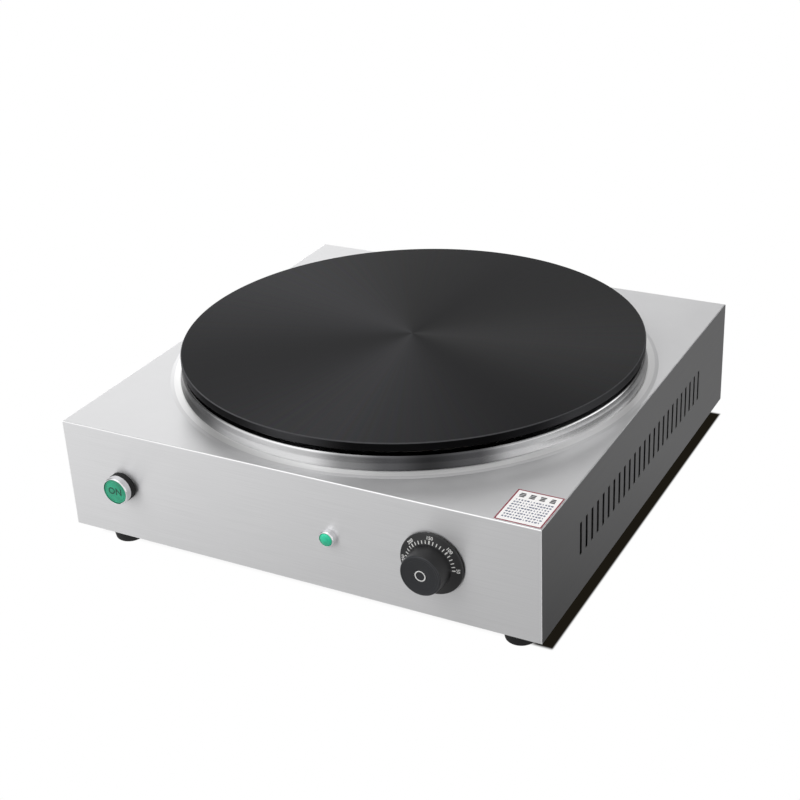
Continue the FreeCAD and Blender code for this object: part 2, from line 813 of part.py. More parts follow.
def make_thermostat():
    at = ("knob_x", "panel_back", "control_height")
    case = block(("thermostat_width", "thermostat_depth", "thermostat_height"),
                 ("knob_x - thermostat_width / 2", "panel_back", "control_height - thermostat_height / 2"))
    bush_depth = "bush_length - bush_proud - case_sheet + end_gap"
    tools = [cylinder("bush_radius + thread_gap", bush_depth, at, BACKWARD)]
    screw_places = ["knob_x %s thermostat_screw_offset" % side for side in ("-", "+")]
    screw_hole = "thermostat_screw_radius + thread_gap"
    for place in screw_places:
        hole_at = (place, "panel_back", "control_height")
        tools.append(cylinder(screw_hole, "thermostat_screw_length", hole_at, BACKWARD))
    keep(cut(case, tools), "thermostat_body")
    bush = ring("shaft_radius + running_gap", "bush_radius", "bush_proud - bush_length", "bush_proud")
    turned("thermostat_bush", bush, ("knob_x", "front_face", "control_height"), FORWARD)
    screw = turned_master_forward([
        ("0", "-thermostat_screw_length"),
        ("thermostat_screw_radius", "-thermostat_screw_length"),
        ("thermostat_screw_radius", "0"),
        ("thermostat_screw_head", "0"),
        ("thermostat_screw_head", "thermostat_screw_head_height"),
        ("0", "thermostat_screw_head_height"),
    ])
    group("thermostat_screws", screw, [(place, "0", "0") for place in screw_places])
    bulb_y = "plate_setback - bulb_offset"
    bulb = cylinder("bulb_radius", "bulb_length", ("-bulb_length / 2", bulb_y, "bulb_height"),
                    Rotation(Vector(0, 1, 0), 90))
    document.recompute()
    keep(bulb, "thermostat_bulb")
    entry = ("knob_x + capillary_place", "thermostat_rear + end_gap", "control_height + capillary_place")
    tube("thermostat_capillary", [
        ("bulb_length / 2 + end_gap", bulb_y, "bulb_height"),
        ("capillary_drop", bulb_y, "bulb_height"),
        ("capillary_drop", bulb_y, entry[2]),
        (entry[0], bulb_y, entry[2]),
        entry,
    ], "capillary_radius", ("capillary_drop_bend", "capillary_bend", "capillary_bend"))


def turned_master_forward(outline):
    # A turned shape in the front panel's height and plane, which is only copied into groups.
    body = master(outline)
    put(body, ("0", "front_face", "control_height"), FORWARD)
    document.recompute()
    return body


def make_knob():
    front = ("knob_x", "front_face", "control_height")
    inner_end = "bush_length - bush_proud - end_gap"
    rod = cylinder("shaft_radius", "shaft_proud + %s" % inner_end,
                   ("knob_x", "front_face + %s" % inner_end, "control_height"), FORWARD)
    flat_length = "shaft_proud - bush_proud"
    flat_at = "knob_x + shaft_radius - shaft_flat"
    chip = block(("2 * shaft_radius", flat_length, "2 * shaft_radius"),
                 (flat_at, "front_face - shaft_proud", "control_height - shaft_radius"))
    keep(cut(rod, [chip]), "thermostat_shaft")
    skirt_top = "knob_gap + skirt_edge"
    cone_top = "%s + skirt_rise - skirt_edge" % skirt_top
    hollow_top = "%s - knob_wall" % cone_top
    face_radius = "grip_radius - knob_rim - knob_rim"
    recess = "knob_proud - knob_dish - cap_height"
    solid = document.addObject("PartDesign::Body", "knob_blank")
    turn(solid, [
        ("0", "bush_proud + end_gap"),
        ("knob_boss_radius", "bush_proud + end_gap"),
        ("knob_boss_radius", hollow_top),
        ("grip_base_radius - knob_wall", hollow_top),
        ("skirt_radius - knob_wall", "knob_gap + knob_wall / 2"),
        ("skirt_radius - knob_wall", "knob_gap"),
        ("skirt_radius - knob_gap / 4", "knob_gap"),
        ("skirt_radius", "knob_gap + knob_gap / 4"),
        ("skirt_radius", "%s - knob_gap / 2" % skirt_top),
        ("skirt_radius - knob_gap / 2", skirt_top),
        ("grip_base_radius", cone_top),
        ("grip_radius", "knob_proud - 2 * knob_rim"),
        ("grip_radius", "knob_proud - knob_rim"),
        ("grip_radius - knob_rim / 3", "knob_proud - knob_rim / 3"),
        ("grip_radius - knob_rim", "knob_proud"),
        (face_radius, "knob_proud - knob_rim / 3"),
        ("cap_radius + touch_gap", "knob_proud - knob_dish"),
        ("cap_radius + touch_gap", recess),
        ("0", recess),
    ])
    put(solid, front, FORWARD)
    bore = cylinder("shaft_radius + touch_gap", "shaft_proud - bush_proud",
                    ("knob_x", "front_face - bush_proud", "control_height"), FORWARD)
    key = block(("shaft_radius", flat_length, "2 * shaft_radius + 4 * touch_gap"),
                (flat_at + " + touch_gap", "front_face - shaft_proud - touch_gap",
                 "control_height - shaft_radius - 2 * touch_gap"))
    keep(cut(solid, [cut(bore, [key])]), "temperature_knob")
    turned("knob_cap", [
        ("0", recess),
        ("cap_radius", recess),
        ("cap_radius", "knob_proud - knob_dish - cap_height / 4"),
        ("cap_radius - cap_height / 4", "knob_proud - knob_dish"),
        ("0", "knob_proud - knob_dish"),
    ], front, FORWARD)


# Push button and pilot lamp

def make_button():
    front = ("button_x", "front_face", "control_height")
    gasket = ring("button_thread_radius + button_hole_gap", "gasket_radius", "0", "gasket_height")
    turned("button_gasket", gasket, front, FORWARD)
    turned("button_bezel", [
        ("barrel_bore_radius", "-barrel_length - case_sheet"),
        ("button_thread_radius", "-barrel_length - case_sheet"),
        ("button_thread_radius", "gasket_height"),
        ("bezel_radius", "gasket_height"),
        ("bezel_radius", "bezel_proud - bezel_round"),
        ("bezel_radius - bezel_round / 3", "bezel_proud - bezel_round / 3"),
        ("bezel_radius - bezel_round", "bezel_proud"),
        ("bezel_bore_radius", "bezel_proud"),
        ("bezel_bore_radius", "bezel_shoulder"),
        ("barrel_bore_radius", "bezel_shoulder"),
    ], front, FORWARD)
    turned("button_cap", [
        ("0", "button_lens_base"),
        ("button_lens_radius", "button_lens_base"),
        ("button_lens_radius", "button_lens_proud - button_lens_crown"),
        ("button_lens_radius - button_lens_crown", "button_lens_proud"),
        ("0", "button_lens_proud"),
    ], front, FORWARD)
    turned("button_plunger", disc("plunger_radius", "-plunger_end", "button_lens_base"), front, FORWARD)
    nut_at = ("button_x", "panel_back", "control_height")
    nut = cut(hexagon("button_nut_radius", "button_nut_height", nut_at, BACKWARD),
              [cylinder("button_thread_radius + thread_gap", "button_nut_height", nut_at, BACKWARD)])
    keep(nut, "button_locknut")
    block_at = ("button_x - contact_width / 2", "contact_front", "control_height - contact_height / 2")
    contact = block(("contact_width", "contact_depth", "contact_height"), block_at)
    document.recompute()
    keep(contact, "contact_block")
    make_spring()


def make_spring():
    # The return spring stands between the contact block and the plunger: a round wire along a smooth curve.
    room = amount_of("contact_front - front_face - plunger_end - 2 * touch_gap - spring_wire")
    coil = amount_of("spring_radius")
    turns = int(amount_of("spring_turns"))
    steps = 12
    points = []
    for step in range(turns * steps + 1):
        angle = 2 * math.pi * step / steps
        points.append(Vector(coil * math.cos(angle), coil * math.sin(angle), room * step / (turns * steps)))
    curve = Part.BSplineCurve()
    curve.interpolate(points)
    section = Part.Circle(points[0], curve.tangent(curve.FirstParameter)[0], amount_of("spring_wire / 2"))
    path = Part.Wire([curve.toShape()])
    thing = document.addObject("Part::Feature", "button_spring")
    thing.Shape = path.makePipeShell([Part.Wire([section.toShape()])], True, True)
    rear = spot(("button_x", "contact_front - touch_gap - spring_wire / 2", "control_height"))
    thing.Placement = Placement(rear, FORWARD)
    keep(thing, "button_spring")


def make_lamp():
    front = ("lamp_x", "front_face", "control_height")
    turned("lamp_bezel", [
        ("lamp_thread_radius - lamp_wall", "-lamp_thread_length"),
        ("lamp_thread_radius", "-lamp_thread_length"),
        ("lamp_thread_radius", "0"),
        ("lamp_bezel_radius", "0"),
        ("lamp_bezel_radius", "lamp_bezel_proud - bezel_round"),
        ("lamp_bezel_radius - bezel_round", "lamp_bezel_proud"),
        ("lamp_bore_radius", "lamp_bezel_proud"),
        ("lamp_bore_radius", "lamp_lens_base"),
        ("lamp_thread_radius - lamp_wall", "lamp_lens_base"),
    ], front, FORWARD)
    crown = "lamp_lens_proud - lamp_lens_radius / %s"
    turned("lamp_lens", [
        ("0", "lamp_lens_base"),
        ("lamp_lens_radius", "lamp_lens_base"),
        ("lamp_lens_radius", crown % 3),
        ("0.92 * lamp_lens_radius", crown % 5),
        ("0.75 * lamp_lens_radius", crown % 10),
        ("0.45 * lamp_lens_radius", crown % 30),
        ("0", "lamp_lens_proud"),
    ], front, FORWARD)
    nut_at = ("lamp_x", "panel_back", "control_height")
    nut = cut(hexagon("lamp_nut_radius", "lamp_nut_height", nut_at, BACKWARD),
              [cylinder("lamp_thread_radius + thread_gap", "lamp_nut_height", nut_at, BACKWARD)])
    keep(nut, "lamp_nut")
    holder = disc("lamp_body_radius", "-lamp_thread_length - lamp_body_length", "-lamp_thread_length")
    turned("lamp_body", holder, front, FORWARD)


# Pieces on the base plate

def ear_spots():
    # Two screws for the contactor and two for the terminal block, each through an ear.
    spots = []
    for side in ("-", "+"):
        spots.append(("contactor_x", "contactor_y %s (contactor_depth + ear_width) / 2" % side, "0"))
    for side in ("-", "+"):
        spots.append(("terminal_x %s (terminal_width + ear_width) / 2" % side, "terminal_y", "0"))
    return spots


def make_electrics():
    ears = [block(("ear_width", "contactor_depth + 2 * ear_width", "ear_height"),
                  ("contactor_x - ear_width / 2", "contactor_front - ear_width", "floor_top")),
            block(("terminal_width + 2 * ear_width", "ear_width", "ear_height"),
                  ("terminal_x - terminal_width / 2 - ear_width", "terminal_y - ear_width / 2", "floor_top"))]
    ear_hole = "ear_screw_radius + thread_gap"
    drills = [cylinder(ear_hole, "ear_height", (x, y, "floor_top")) for x, y, _ in ear_spots()]
    base = block(("contactor_width", "contactor_depth", "contactor_base_height"),
                 ("contactor_x - contactor_width / 2", "contactor_front", "floor_top"))
    keep(cut(join([base, ears[0]]), drills[:2]), "contactor_base")
    cover = block(("contactor_width - 2 * contactor_step", "contactor_depth", "contactor_cover_height"),
                  ("contactor_x - contactor_width / 2 + contactor_step", "contactor_front",
                   "floor_top + contactor_base_height"))
    document.recompute()
    keep(cover, "contactor_cover")
    body = block(("terminal_width", "terminal_depth", "terminal_height"),
                 ("terminal_x - terminal_width / 2", "terminal_y - terminal_depth / 2", "floor_top"))
    screw_base = "floor_top + terminal_height - terminal_screw_depth"
    places = [("terminal_x + terminal_pitch * (%d - (terminal_count - 1) / 2)" % index, "terminal_y", "0")
              for index in range(int(amount_of("terminal_count")))]
    wells = [cylinder("terminal_screw_radius + thread_gap", "terminal_screw_depth", (x, y, screw_base))
             for x, y, _ in places]
    keep(cut(join([body, ears[1]]), drills[2:] + wells), "terminal_block")
    screw = cylinder("terminal_screw_radius", "terminal_screw_depth", ("0", "0", screw_base))
    document.recompute()
    group("terminal_screws", screw, places)
    ear_top = "floor_top + ear_height"
    ear_screw = master([
        ("0", "foot_height - ear_screw_head_height / 2"),
        ("ear_screw_radius", "foot_height - ear_screw_head_height / 2"),
        ("ear_screw_radius", ear_top),
        ("ear_screw_head", ear_top),
        ("ear_screw_head", ear_top + " + ear_screw_head_height"),
        ("0", ear_top + " + ear_screw_head_height"),
    ])
    group("component_screws", ear_screw, ear_spots())
    earth_at = ("earth_x", "earth_y", "foot_height")
    turned("earth_stud", [
        ("0", "-earth_head_height"),
        ("earth_head_radius", "-earth_head_height"),
        ("earth_head_radius", "0"),
        ("stud_radius", "0"),
        ("stud_radius", "earth_length"),
        ("0", "earth_length"),
    ], earth_at)
    nut_at = ("earth_x", "earth_y", "floor_top")
    keep(cut(hexagon("stud_nut_radius", "stud_nut_height", nut_at),
             [cylinder("stud_radius + thread_gap", "stud_nut_height", nut_at)]), "earth_nut")


def make_gland():
    wall = ("gland_x", "back_face", "gland_z")
    outside = join([
        hexagon("gland_hex_radius", "gland_flange", wall, BACKWARD),
        cylinder("gland_neck_radius", "gland_reach", wall, BACKWARD),
        cylinder("gland_thread_radius", "gland_thread_length", wall, FORWARD),
    ])
    through = cylinder("gland_bore_radius", "gland_reach + gland_thread_length",
                       ("gland_x", "back_face - gland_thread_length", "gland_z"), BACKWARD)
    keep(cut(outside, [through]), "cable_gland_body")
    turned("gland_dome_nut", [
        ("gland_neck_radius + thread_gap", "gland_flange + touch_gap"),
        ("dome_nut_radius", "gland_flange + touch_gap"),
        ("dome_nut_radius", "gland_proud - dome_round"),
        ("dome_nut_radius - dome_round / 3", "gland_proud - dome_round / 3"),
        ("dome_nut_radius - dome_round", "gland_proud"),
        ("dome_mouth_radius", "gland_proud"),
        ("dome_mouth_radius", "gland_proud - dome_face"),
        ("gland_neck_radius + thread_gap", "gland_proud - dome_face"),
    ], wall, BACKWARD)
    seal_face = "gland_proud - dome_face - touch_gap"
    seal = ring("seal_bore_radius", "gland_bore_radius - touch_gap", seal_face + " - seal_length", seal_face)
    turned("gland_seal", seal, wall, BACKWARD)
    nut_at = ("gland_x", "back_face - case_sheet", "gland_z")
    nut = cut(hexagon("gland_nut_radius", "gland_nut_height", nut_at, FORWARD),
              [cylinder("gland_thread_radius + thread_gap", "gland_nut_height", nut_at, FORWARD)])
    keep(nut, "gland_locknut")


def make_sticker():
    left = "case_width / 2 - sticker_side_gap - sticker_width"
    padded("label_sticker", [rectangle("0", "0", "sticker_width", "sticker_depth")], "sticker_sheet",
           (left, "front_face + sticker_front_gap", "deck_top"))


def make_leads():
    outer_leg, inner_leg = (
        ("%s * cos(%s)" % (ring_radius, LEG_ANGLE), "plate_setback + %s * sin(%s)" % (ring_radius, LEG_ANGLE))
        for ring_radius in ("element_outer_ring", "element_inner_ring")
    )
    below_leg = "leg_end - end_gap"
    crossing = "contactor_top + lead_bend + 2 * lead_radius"
    landing = "contactor_x - contactor_width / 4"
    low = "floor_top + terminal_height / 2"
    mid = "floor_top + contactor_base_height + 2 * lead_radius"
    aisle = "contactor_front - 4 * lead_bend"
    lamp_rear = "front_face + lamp_thread_length + lamp_body_length + end_gap"
    routes = {
        "lead_outer_element": [
            (*outer_leg, below_leg),
            (*outer_leg, crossing),
            (landing, outer_leg[1], crossing),
            (landing, outer_leg[1], "contactor_top + end_gap"),
        ],
        "lead_inner_element": [
            (*inner_leg, below_leg),
            (*inner_leg, "contactor_top + end_gap"),
        ],
        "lead_supply": [
            ("terminal_x - terminal_width / 2 - end_gap", "terminal_y + ear_width", low),
            ("contactor_x", "terminal_y + ear_width", low),
            ("contactor_x", "contactor_rear + end_gap", low),
        ],
        "lead_thermostat": [
            ("contactor_x", "contactor_front - end_gap", mid),
            ("contactor_x", aisle, mid),
            ("knob_x - capillary_place", aisle, mid),
            ("knob_x - capillary_place", aisle, "control_height"),
            ("knob_x - capillary_place", "thermostat_rear + end_gap", "control_height"),
        ],
        "lead_button": [
            (landing, "contactor_front - end_gap", "control_height - lead_bend"),
            (landing, "contactor_front - 2 * lead_bend - lead_radius", "control_height - lead_bend"),
            ("button_x", "contactor_front - 2 * lead_bend - lead_radius", "control_height - lead_bend"),
            ("button_x", "contact_front + contact_depth + end_gap", "control_height - lead_bend"),
        ],
        "lead_lamp": [
            ("lamp_x", lamp_rear, "control_height"),
            ("lamp_x", "%s + 2 * lead_bend" % lamp_rear, "control_height"),
            ("lamp_x", "%s + 2 * lead_bend" % lamp_rear, low),
            ("terminal_x", "%s + 2 * lead_bend" % lamp_rear, low),
            ("terminal_x", "terminal_y - terminal_depth / 2 - end_gap", low),
        ],
    }
    for label, route in routes.items():
        tube(label, route, "lead_radius", ["lead_bend"] * (len(route) - 2))


def check_and_write():
    document.recompute()
    for thing in document.Objects:
        if "Invalid" in thing.State or "Error" in thing.State:
            raise RuntimeError("%s failed: %s" % (thing.Label, thing.State))
    for piece in pieces:
        if piece.Shape.isNull() or not piece.Shape.isValid() or not piece.Shape.Solids:
            raise RuntimeError(piece.Label + " has no valid solid")
    os.makedirs("parts", exist_ok=True)
    for piece in pieces:
        piece.Shape.exportStep("parts/%s.step" % piece.Label)
        print(piece.Label, len(piece.Shape.Solids), round(piece.Shape.Volume, 1))


make_casing()
make_base()
make_feet()
make_plate()
make_plate_carriers()
make_thermostat()
make_knob()
make_button()
make_lamp()
make_electrics()
make_gland()
make_sticker()
make_leads()
check_and_write()
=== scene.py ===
import json
import math

import bmesh
import bpy
from mathutils import Matrix, Vector


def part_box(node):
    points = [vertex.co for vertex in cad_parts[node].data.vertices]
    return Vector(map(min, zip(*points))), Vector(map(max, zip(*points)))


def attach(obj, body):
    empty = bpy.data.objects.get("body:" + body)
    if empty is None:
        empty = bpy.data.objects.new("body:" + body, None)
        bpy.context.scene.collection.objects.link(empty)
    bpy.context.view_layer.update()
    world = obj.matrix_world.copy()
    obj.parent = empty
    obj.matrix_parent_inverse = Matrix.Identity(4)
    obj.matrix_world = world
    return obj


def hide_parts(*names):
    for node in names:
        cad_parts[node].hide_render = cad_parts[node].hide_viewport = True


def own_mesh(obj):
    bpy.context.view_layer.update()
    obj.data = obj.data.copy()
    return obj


mm = 0.001
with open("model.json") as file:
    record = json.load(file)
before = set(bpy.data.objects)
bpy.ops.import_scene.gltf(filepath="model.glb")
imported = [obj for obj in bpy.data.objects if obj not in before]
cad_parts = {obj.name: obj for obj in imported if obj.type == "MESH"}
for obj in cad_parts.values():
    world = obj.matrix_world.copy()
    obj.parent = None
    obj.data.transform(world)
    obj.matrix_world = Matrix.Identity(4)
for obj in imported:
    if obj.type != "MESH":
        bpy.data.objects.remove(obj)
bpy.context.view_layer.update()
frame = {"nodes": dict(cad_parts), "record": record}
nodes = frame["nodes"]
scene = bpy.context.scene
print("frame loaded:", len(nodes), "nodes")


# Small helpers

def toLinear(hexColour):
    # sRGB hex to the linear values that shaders want
    channels = [int(hexColour[i:i + 2], 16) / 255 for i in (1, 3, 5)]
    linear = [c / 12.92 if c <= 0.04045 else ((c + 0.055) / 1.055) ** 2.4 for c in channels]
    return (*linear, 1.0)


def setInputs(tree, node, **inputs):
    # Inputs by name or number (in0, in1): each a value, a socket to link, or a node whose first output is linked
    for name, value in inputs.items():
        key = int(name[2:]) if name.startswith("in") and name[2:].isdigit() else name.replace("_", " ")
        if isinstance(value, bpy.types.Node):
            value = value.outputs[0]
        if isinstance(value, bpy.types.NodeSocket):
            tree.links.new(value, node.inputs[key])
        else:
            node.inputs[key].default_value = value


def addNode(tree, kind, settings=None, **inputs):
    # One node with its settings and links; "ramp" is a colour ramp's interpolation and its (place, colour) stops
    node = tree.nodes.new(kind)
    for name, value in (settings or {}).items():
        if name != "ramp":
            setattr(node, name, value)
            continue
        node.color_ramp.interpolation, stops = value
        elements = node.color_ramp.elements
        while len(elements) < len(stops):
            elements.new(1.0)
        for element, (place, colour) in zip(elements, stops):
            element.position, element.color = place, toLinear(colour)
    setInputs(tree, node, **inputs)
    return node


def newMaterial(name, baseHex, **inputs):
    # A material with its one Principled shader, which the callers link patterns into
    material = bpy.data.materials.new(name)
    material.use_nodes = True
    tree = material.node_tree
    shader = tree.nodes["Principled BSDF"]
    setInputs(tree, shader, Base_Color=toLinear(baseHex), **inputs)
    return material, tree, shader


def objectCoords(tree, scale=(1, 1, 1), location=(0, 0, 0), rotation=(0, 0, 0)):
    coords = addNode(tree, "ShaderNodeTexCoord")
    mapped = addNode(tree, "ShaderNodeMapping", Vector=coords.outputs["Object"])
    mapped.inputs["Scale"].default_value = scale
    mapped.inputs["Location"].default_value = location
    mapped.inputs["Rotation"].default_value = rotation
    return mapped.outputs["Vector"]


def plainMesh(name, mesh, material, body, replaced=()):
    # Links a finished mesh as a piece at the origin and says what it rides on and stands for
    piece = bpy.data.objects.new(name, mesh)
    scene.collection.objects.link(piece)
    if material is not None:
        mesh.materials.clear()
        mesh.materials.append(material)
    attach(piece, body)
    if replaced:
        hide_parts(*replaced)
    return piece


def roundCorners(outline, radius, steps=4):
    # Rounds the inner corners of an open outline of (radius, height) points
    rounded = [outline[0]]
    for before, corner, after in zip(outline, outline[1:], outline[2:]):
        a, b, c = Vector(before), Vector(corner), Vector(after)
        toA, toC = (a - b), (c - b)
        reach = min(radius, toA.length * 0.45, toC.length * 0.45)
        start, end = b + toA.normalized() * reach, b + toC.normalized() * reach
        for step in range(steps + 1):
            t = step / steps
            rounded.append(tuple(start * (1 - t) ** 2 + b * 2 * t * (1 - t) + end * t ** 2))
    rounded.append(outline[-1])
    return rounded


def latheMesh(name, outline, segments, matrix, smoothAngle=35, grooves=None):
    # Turns an outline of (radius, height) about Z, with U round the axis and V along the outline.
    # grooves is (how many, how deep, least radius) for a piece with a grip
    work = bmesh.new()
    uvLayer = work.loops.layers.uv.new("turned")
    lengths = [0.0]
    for before, after in zip(outline, outline[1:]):
        lengths.append(lengths[-1] + math.dist(before, after))
    rings = []
    for radius, height in outline:
        if radius < 1e-6:
            rings.append([work.verts.new((0, 0, height))])
            continue
        around = []
        for k in range(segments):
            angle = 2 * math.pi * k / segments
            reach = radius
            if grooves and radius >= grooves[2]:
                reach -= grooves[1] * max(0.0, math.cos(grooves[0] * angle)) ** 3
            around.append(work.verts.new((reach * math.cos(angle), reach * math.sin(angle), height)))
        rings.append(around)
    for row, (lower, upper) in enumerate(zip(rings, rings[1:])):
        for k in range(segments):
            nextK = (k + 1) % segments
            corners = [(lower, k, row), (lower, nextK, row), (upper, nextK, row + 1), (upper, k, row + 1)]
            places = {}
            for ring, place, level in corners:
                vertex = ring[0] if len(ring) == 1 else ring[place]
                u = (k + (1 if place == nextK else 0)) / segments
                places.setdefault(vertex, (u, lengths[level] / lengths[-1]))
            if len(places) < 3:
                continue
            face = work.faces.new(list(places))
            for loop in face.loops:
                loop[uvLayer].uv = places[loop.vert]
    bmesh.ops.remove_doubles(work, verts=work.verts, dist=1e-6)
    bmesh.ops.recalc_face_normals(work, faces=work.faces)
    work.transform(matrix)
    mesh = bpy.data.meshes.new(name)
    work.to_mesh(mesh)
    work.free()
    shadeByAngle(mesh, smoothAngle)
    return mesh


def shadeByAngle(mesh, degrees):
    mesh.shade_smooth()
    limit = math.radians(degrees)
    work = bmesh.new()
    work.from_mesh(mesh)
    for edge in work.edges:
        edge.smooth = len(edge.link_faces) == 2 and edge.calc_face_angle(0) < limit
    work.to_mesh(mesh)
    work.free()


def inMetres(*points):
    return [(radius * mm, height * mm) for radius, height in points]


def evaluatedMesh(holder):
    # The finished mesh of an object with a modifier or a text, which is then taken away
    graph = bpy.context.evaluated_depsgraph_get()
    mesh = bpy.data.meshes.new_from_object(holder.evaluated_get(graph), depsgraph=graph)
    bpy.data.objects.remove(holder)
    return mesh


def textMesh(words, height, thickness, weight=0.0):
    curve = bpy.data.curves.new("words", "FONT")
    curve.body = words
    curve.size = height
    curve.extrude = thickness / 2
    curve.offset = weight
    curve.align_x = "CENTER"
    curve.align_y = "CENTER"
    curve.resolution_u = 3
    holder = bpy.data.objects.new("words", curve)
    scene.collection.objects.link(holder)
    return evaluatedMesh(holder)


def grownMesh(name, tree, values):
    # Runs a Geometry Nodes tree with these named inputs and keeps what it grows
    holder = bpy.data.objects.new(name, bpy.data.meshes.new(name))
    scene.collection.objects.link(holder)
    modifier = holder.modifiers.new("grown", "NODES")
    modifier.node_group = tree
    for item in tree.interface.items_tree:
        if item.item_type == "SOCKET" and item.in_out == "INPUT" and item.name in values:
            modifier[item.identifier] = values[item.name]
    holder.update_tag()
    bpy.context.view_layer.update()
    return evaluatedMesh(holder)


def joinedMesh(name, parts):
    # One mesh from several (mesh, matrix) parts
    work = bmesh.new()
    for mesh, matrix in parts:
        mesh.transform(matrix)
        work.from_mesh(mesh)
    whole = bpy.data.meshes.new(name)
    work.to_mesh(whole)
    work.free()
    shadeByAngle(whole, 35)
    return whole


def centreOf(node):
    low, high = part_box(node)
    return (low + high) / 2


facingFront = Matrix.Rotation(math.radians(90), 4, "X")     # +Z of a turned piece points at the user
facingBack = Matrix.Rotation(math.radians(-90), 4, "X")
casingLow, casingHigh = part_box("casing_shell")
plateLow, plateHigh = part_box("griddle_plate")
collarLow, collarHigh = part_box("plate_collar")
plateCentre = centreOf("griddle_plate")
plateRadius = (plateHigh.x - plateLow.x) / 2
knobCentre = centreOf("temperature_knob")
buttonCentre = centreOf("button_bezel")
lampCentre = centreOf("lamp_bezel")
frontFace = casingLow.y
ringStep = 1.5 * mm     # the pressed ring that the collar stands on is this much above the deck
deckTop = collarLow.z - ringStep


# Camera

cameraView = {
    "position": (0.57635, -1.06128, 0.68984),
    "turnLeft": 29.103,
    "lookDown": 26.7818,
    "roll": -2.9162,
    "lens": 68.964,
    "sensor": 36.0,
}


def makeCamera():
    turn, down, roll = (math.radians(cameraView[key]) for key in ("turnLeft", "lookDown", "roll"))
    ahead = Vector((-math.sin(turn) * math.cos(down), math.cos(turn) * math.cos(down), -math.sin(down)))
    side = Vector((math.cos(turn), math.sin(turn), 0))
    above = side.cross(ahead)
    right = side * math.cos(roll) + above * math.sin(roll)
    up = above * math.cos(roll) - side * math.sin(roll)
    data = bpy.data.cameras.new("studioCamera")
    data.lens = cameraView["lens"]
    data.sensor_width = cameraView["sensor"]
    camera = bpy.data.objects.new("studioCamera", data)
    axes = Matrix((right, up, -ahead)).transposed().to_4x4()
    camera.matrix_world = Matrix.Translation(cameraView["position"]) @ axes
    scene.collection.objects.link(camera)
    scene.camera = camera


makeCamera()
print("camera placed")


# Materials

def spacing(millimetres):
    # How many pattern cells lie in a metre
    return 1000 / millimetres


steel = {
    "streak": (70, 0.8),                # mm long and wide; real brushing is 0.1 mm wide, drawn wider so that it shows
    "tones": [(0.3, "#DADADB"), (0.7, "#E0E0E1")],
    "roughness": (0.36, 0.44),
    "foldWidth": 0.5 * mm,
    "foldTone": "#FAFAFA",              # painted highlight along the folds
    "ringAbove": 0.6 * mm,
    "paintedRingHighlight": "#EFEFEF",              # painted highlight on the pressed ring round the collar
    "wall": 0.7 * mm,
    # painted shade for the inside of the casing
    "paintedInsideShade": "#151517",
    "insideDull": 0.3,
    "anisotropy": 0.85,
    "acrossGrain": (0.0, 0.4, 1.0),     # light spreads to the rear on the deck and upward on the walls
}


def brushedStainless():
    # AISI 304 sheet, brushed: soft grey metal, streaks run left to right, faint darker and lighter hairs;
    # painted highlights on the folds and the pressed ring; inside the casing the sheet is dull and painted dark as
    # shade
    material, tree, shader = newMaterial("brushedStainless304", "#DDDDDE", Metallic=1.0,
                                         Anisotropic=steel["anisotropy"])
    length, width = (spacing(size) for size in steel["streak"])
    hairs = addNode(tree, "ShaderNodeTexNoise", Vector=objectCoords(tree, scale=(length, length, width)),
                    Scale=1.0, Detail=3.0, Roughness=0.6)
    tone = addNode(tree, "ShaderNodeValToRGB", {"ramp": ("LINEAR", steel["tones"])}, Fac=hairs)
    places = addNode(tree, "ShaderNodeSeparateXYZ", Vector=objectCoords(tree)).outputs
    within, faces = 1.0, 0.0
    for axis, limit in (("X", casingHigh.x), ("Y", casingHigh.y), ("Z", deckTop)):
        aside = addNode(tree, "ShaderNodeMath", {"operation": "ABSOLUTE"}, in0=places[axis])
        inner = addNode(tree, "ShaderNodeMath", {"operation": "LESS_THAN"}, in0=aside, in1=limit - steel["wall"])
        within = addNode(tree, "ShaderNodeMath", {"operation": "MULTIPLY"}, in0=within, in1=inner)
        outer = addNode(tree, "ShaderNodeMath", {"operation": "GREATER_THAN"}, in0=aside,
                        in1=limit - steel["foldWidth"])
        faces = addNode(tree, "ShaderNodeMath", {"operation": "ADD"}, in0=faces, in1=outer)
    # a point lies on a fold where it is near two faces of the box at once
    onFold = addNode(tree, "ShaderNodeMath", {"operation": "GREATER_THAN"}, in0=faces, in1=1.5)
    onRing = addNode(tree, "ShaderNodeMath", {"operation": "GREATER_THAN"}, in0=places["Z"],
                     in1=deckTop + steel["ringAbove"])
    # painted highlights on the folds and the pressed ring, painted shade inside the casing
    for where, colour in ((onFold, "foldTone"), (onRing, "paintedRingHighlight"), (within, "paintedInsideShade")):
        tone = addNode(tree, "ShaderNodeMix", {"data_type": "RGBA"}, Factor=where, in6=tone,
                       in7=toLinear(steel[colour])).outputs[2]
    shine = addNode(tree, "ShaderNodeMapRange", Value=hairs, To_Min=steel["roughness"][0],
                    To_Max=steel["roughness"][1])
    dull = addNode(tree, "ShaderNodeMath", {"operation": "MULTIPLY"}, in0=within, in1=steel["insideDull"])
    rough = addNode(tree, "ShaderNodeMath", {"operation": "ADD"}, in0=shine, in1=dull)
    bump = addNode(tree, "ShaderNodeBump", Strength=0.02, Distance=0.1 * mm, Height=hairs)
    x, y, z = steel["acrossGrain"]
    across = addNode(tree, "ShaderNodeCombineXYZ", X=x, Y=y, Z=z)
    setInputs(tree, shader, Base_Color=tone, Roughness=rough, Normal=bump, Tangent=across)
    return material


def plateAngle(tree):
    # 0 to 1 round the plate's middle, anticlockwise from +X
    spot = objectCoords(tree, location=(-plateCentre.x, -plateCentre.y, 0))
    parts = addNode(tree, "ShaderNodeSeparateXYZ", Vector=spot).outputs
    angle = addNode(tree, "ShaderNodeMath", {"operation": "ARCTAN2"}, in0=parts["Y"], in1=parts["X"])
    turns = addNode(tree, "ShaderNodeMath", {"operation": "DIVIDE"}, in0=angle, in1=2 * math.pi)
    return addNode(tree, "ShaderNodeMath", {"operation": "FRACT"}, in0=turns), spot


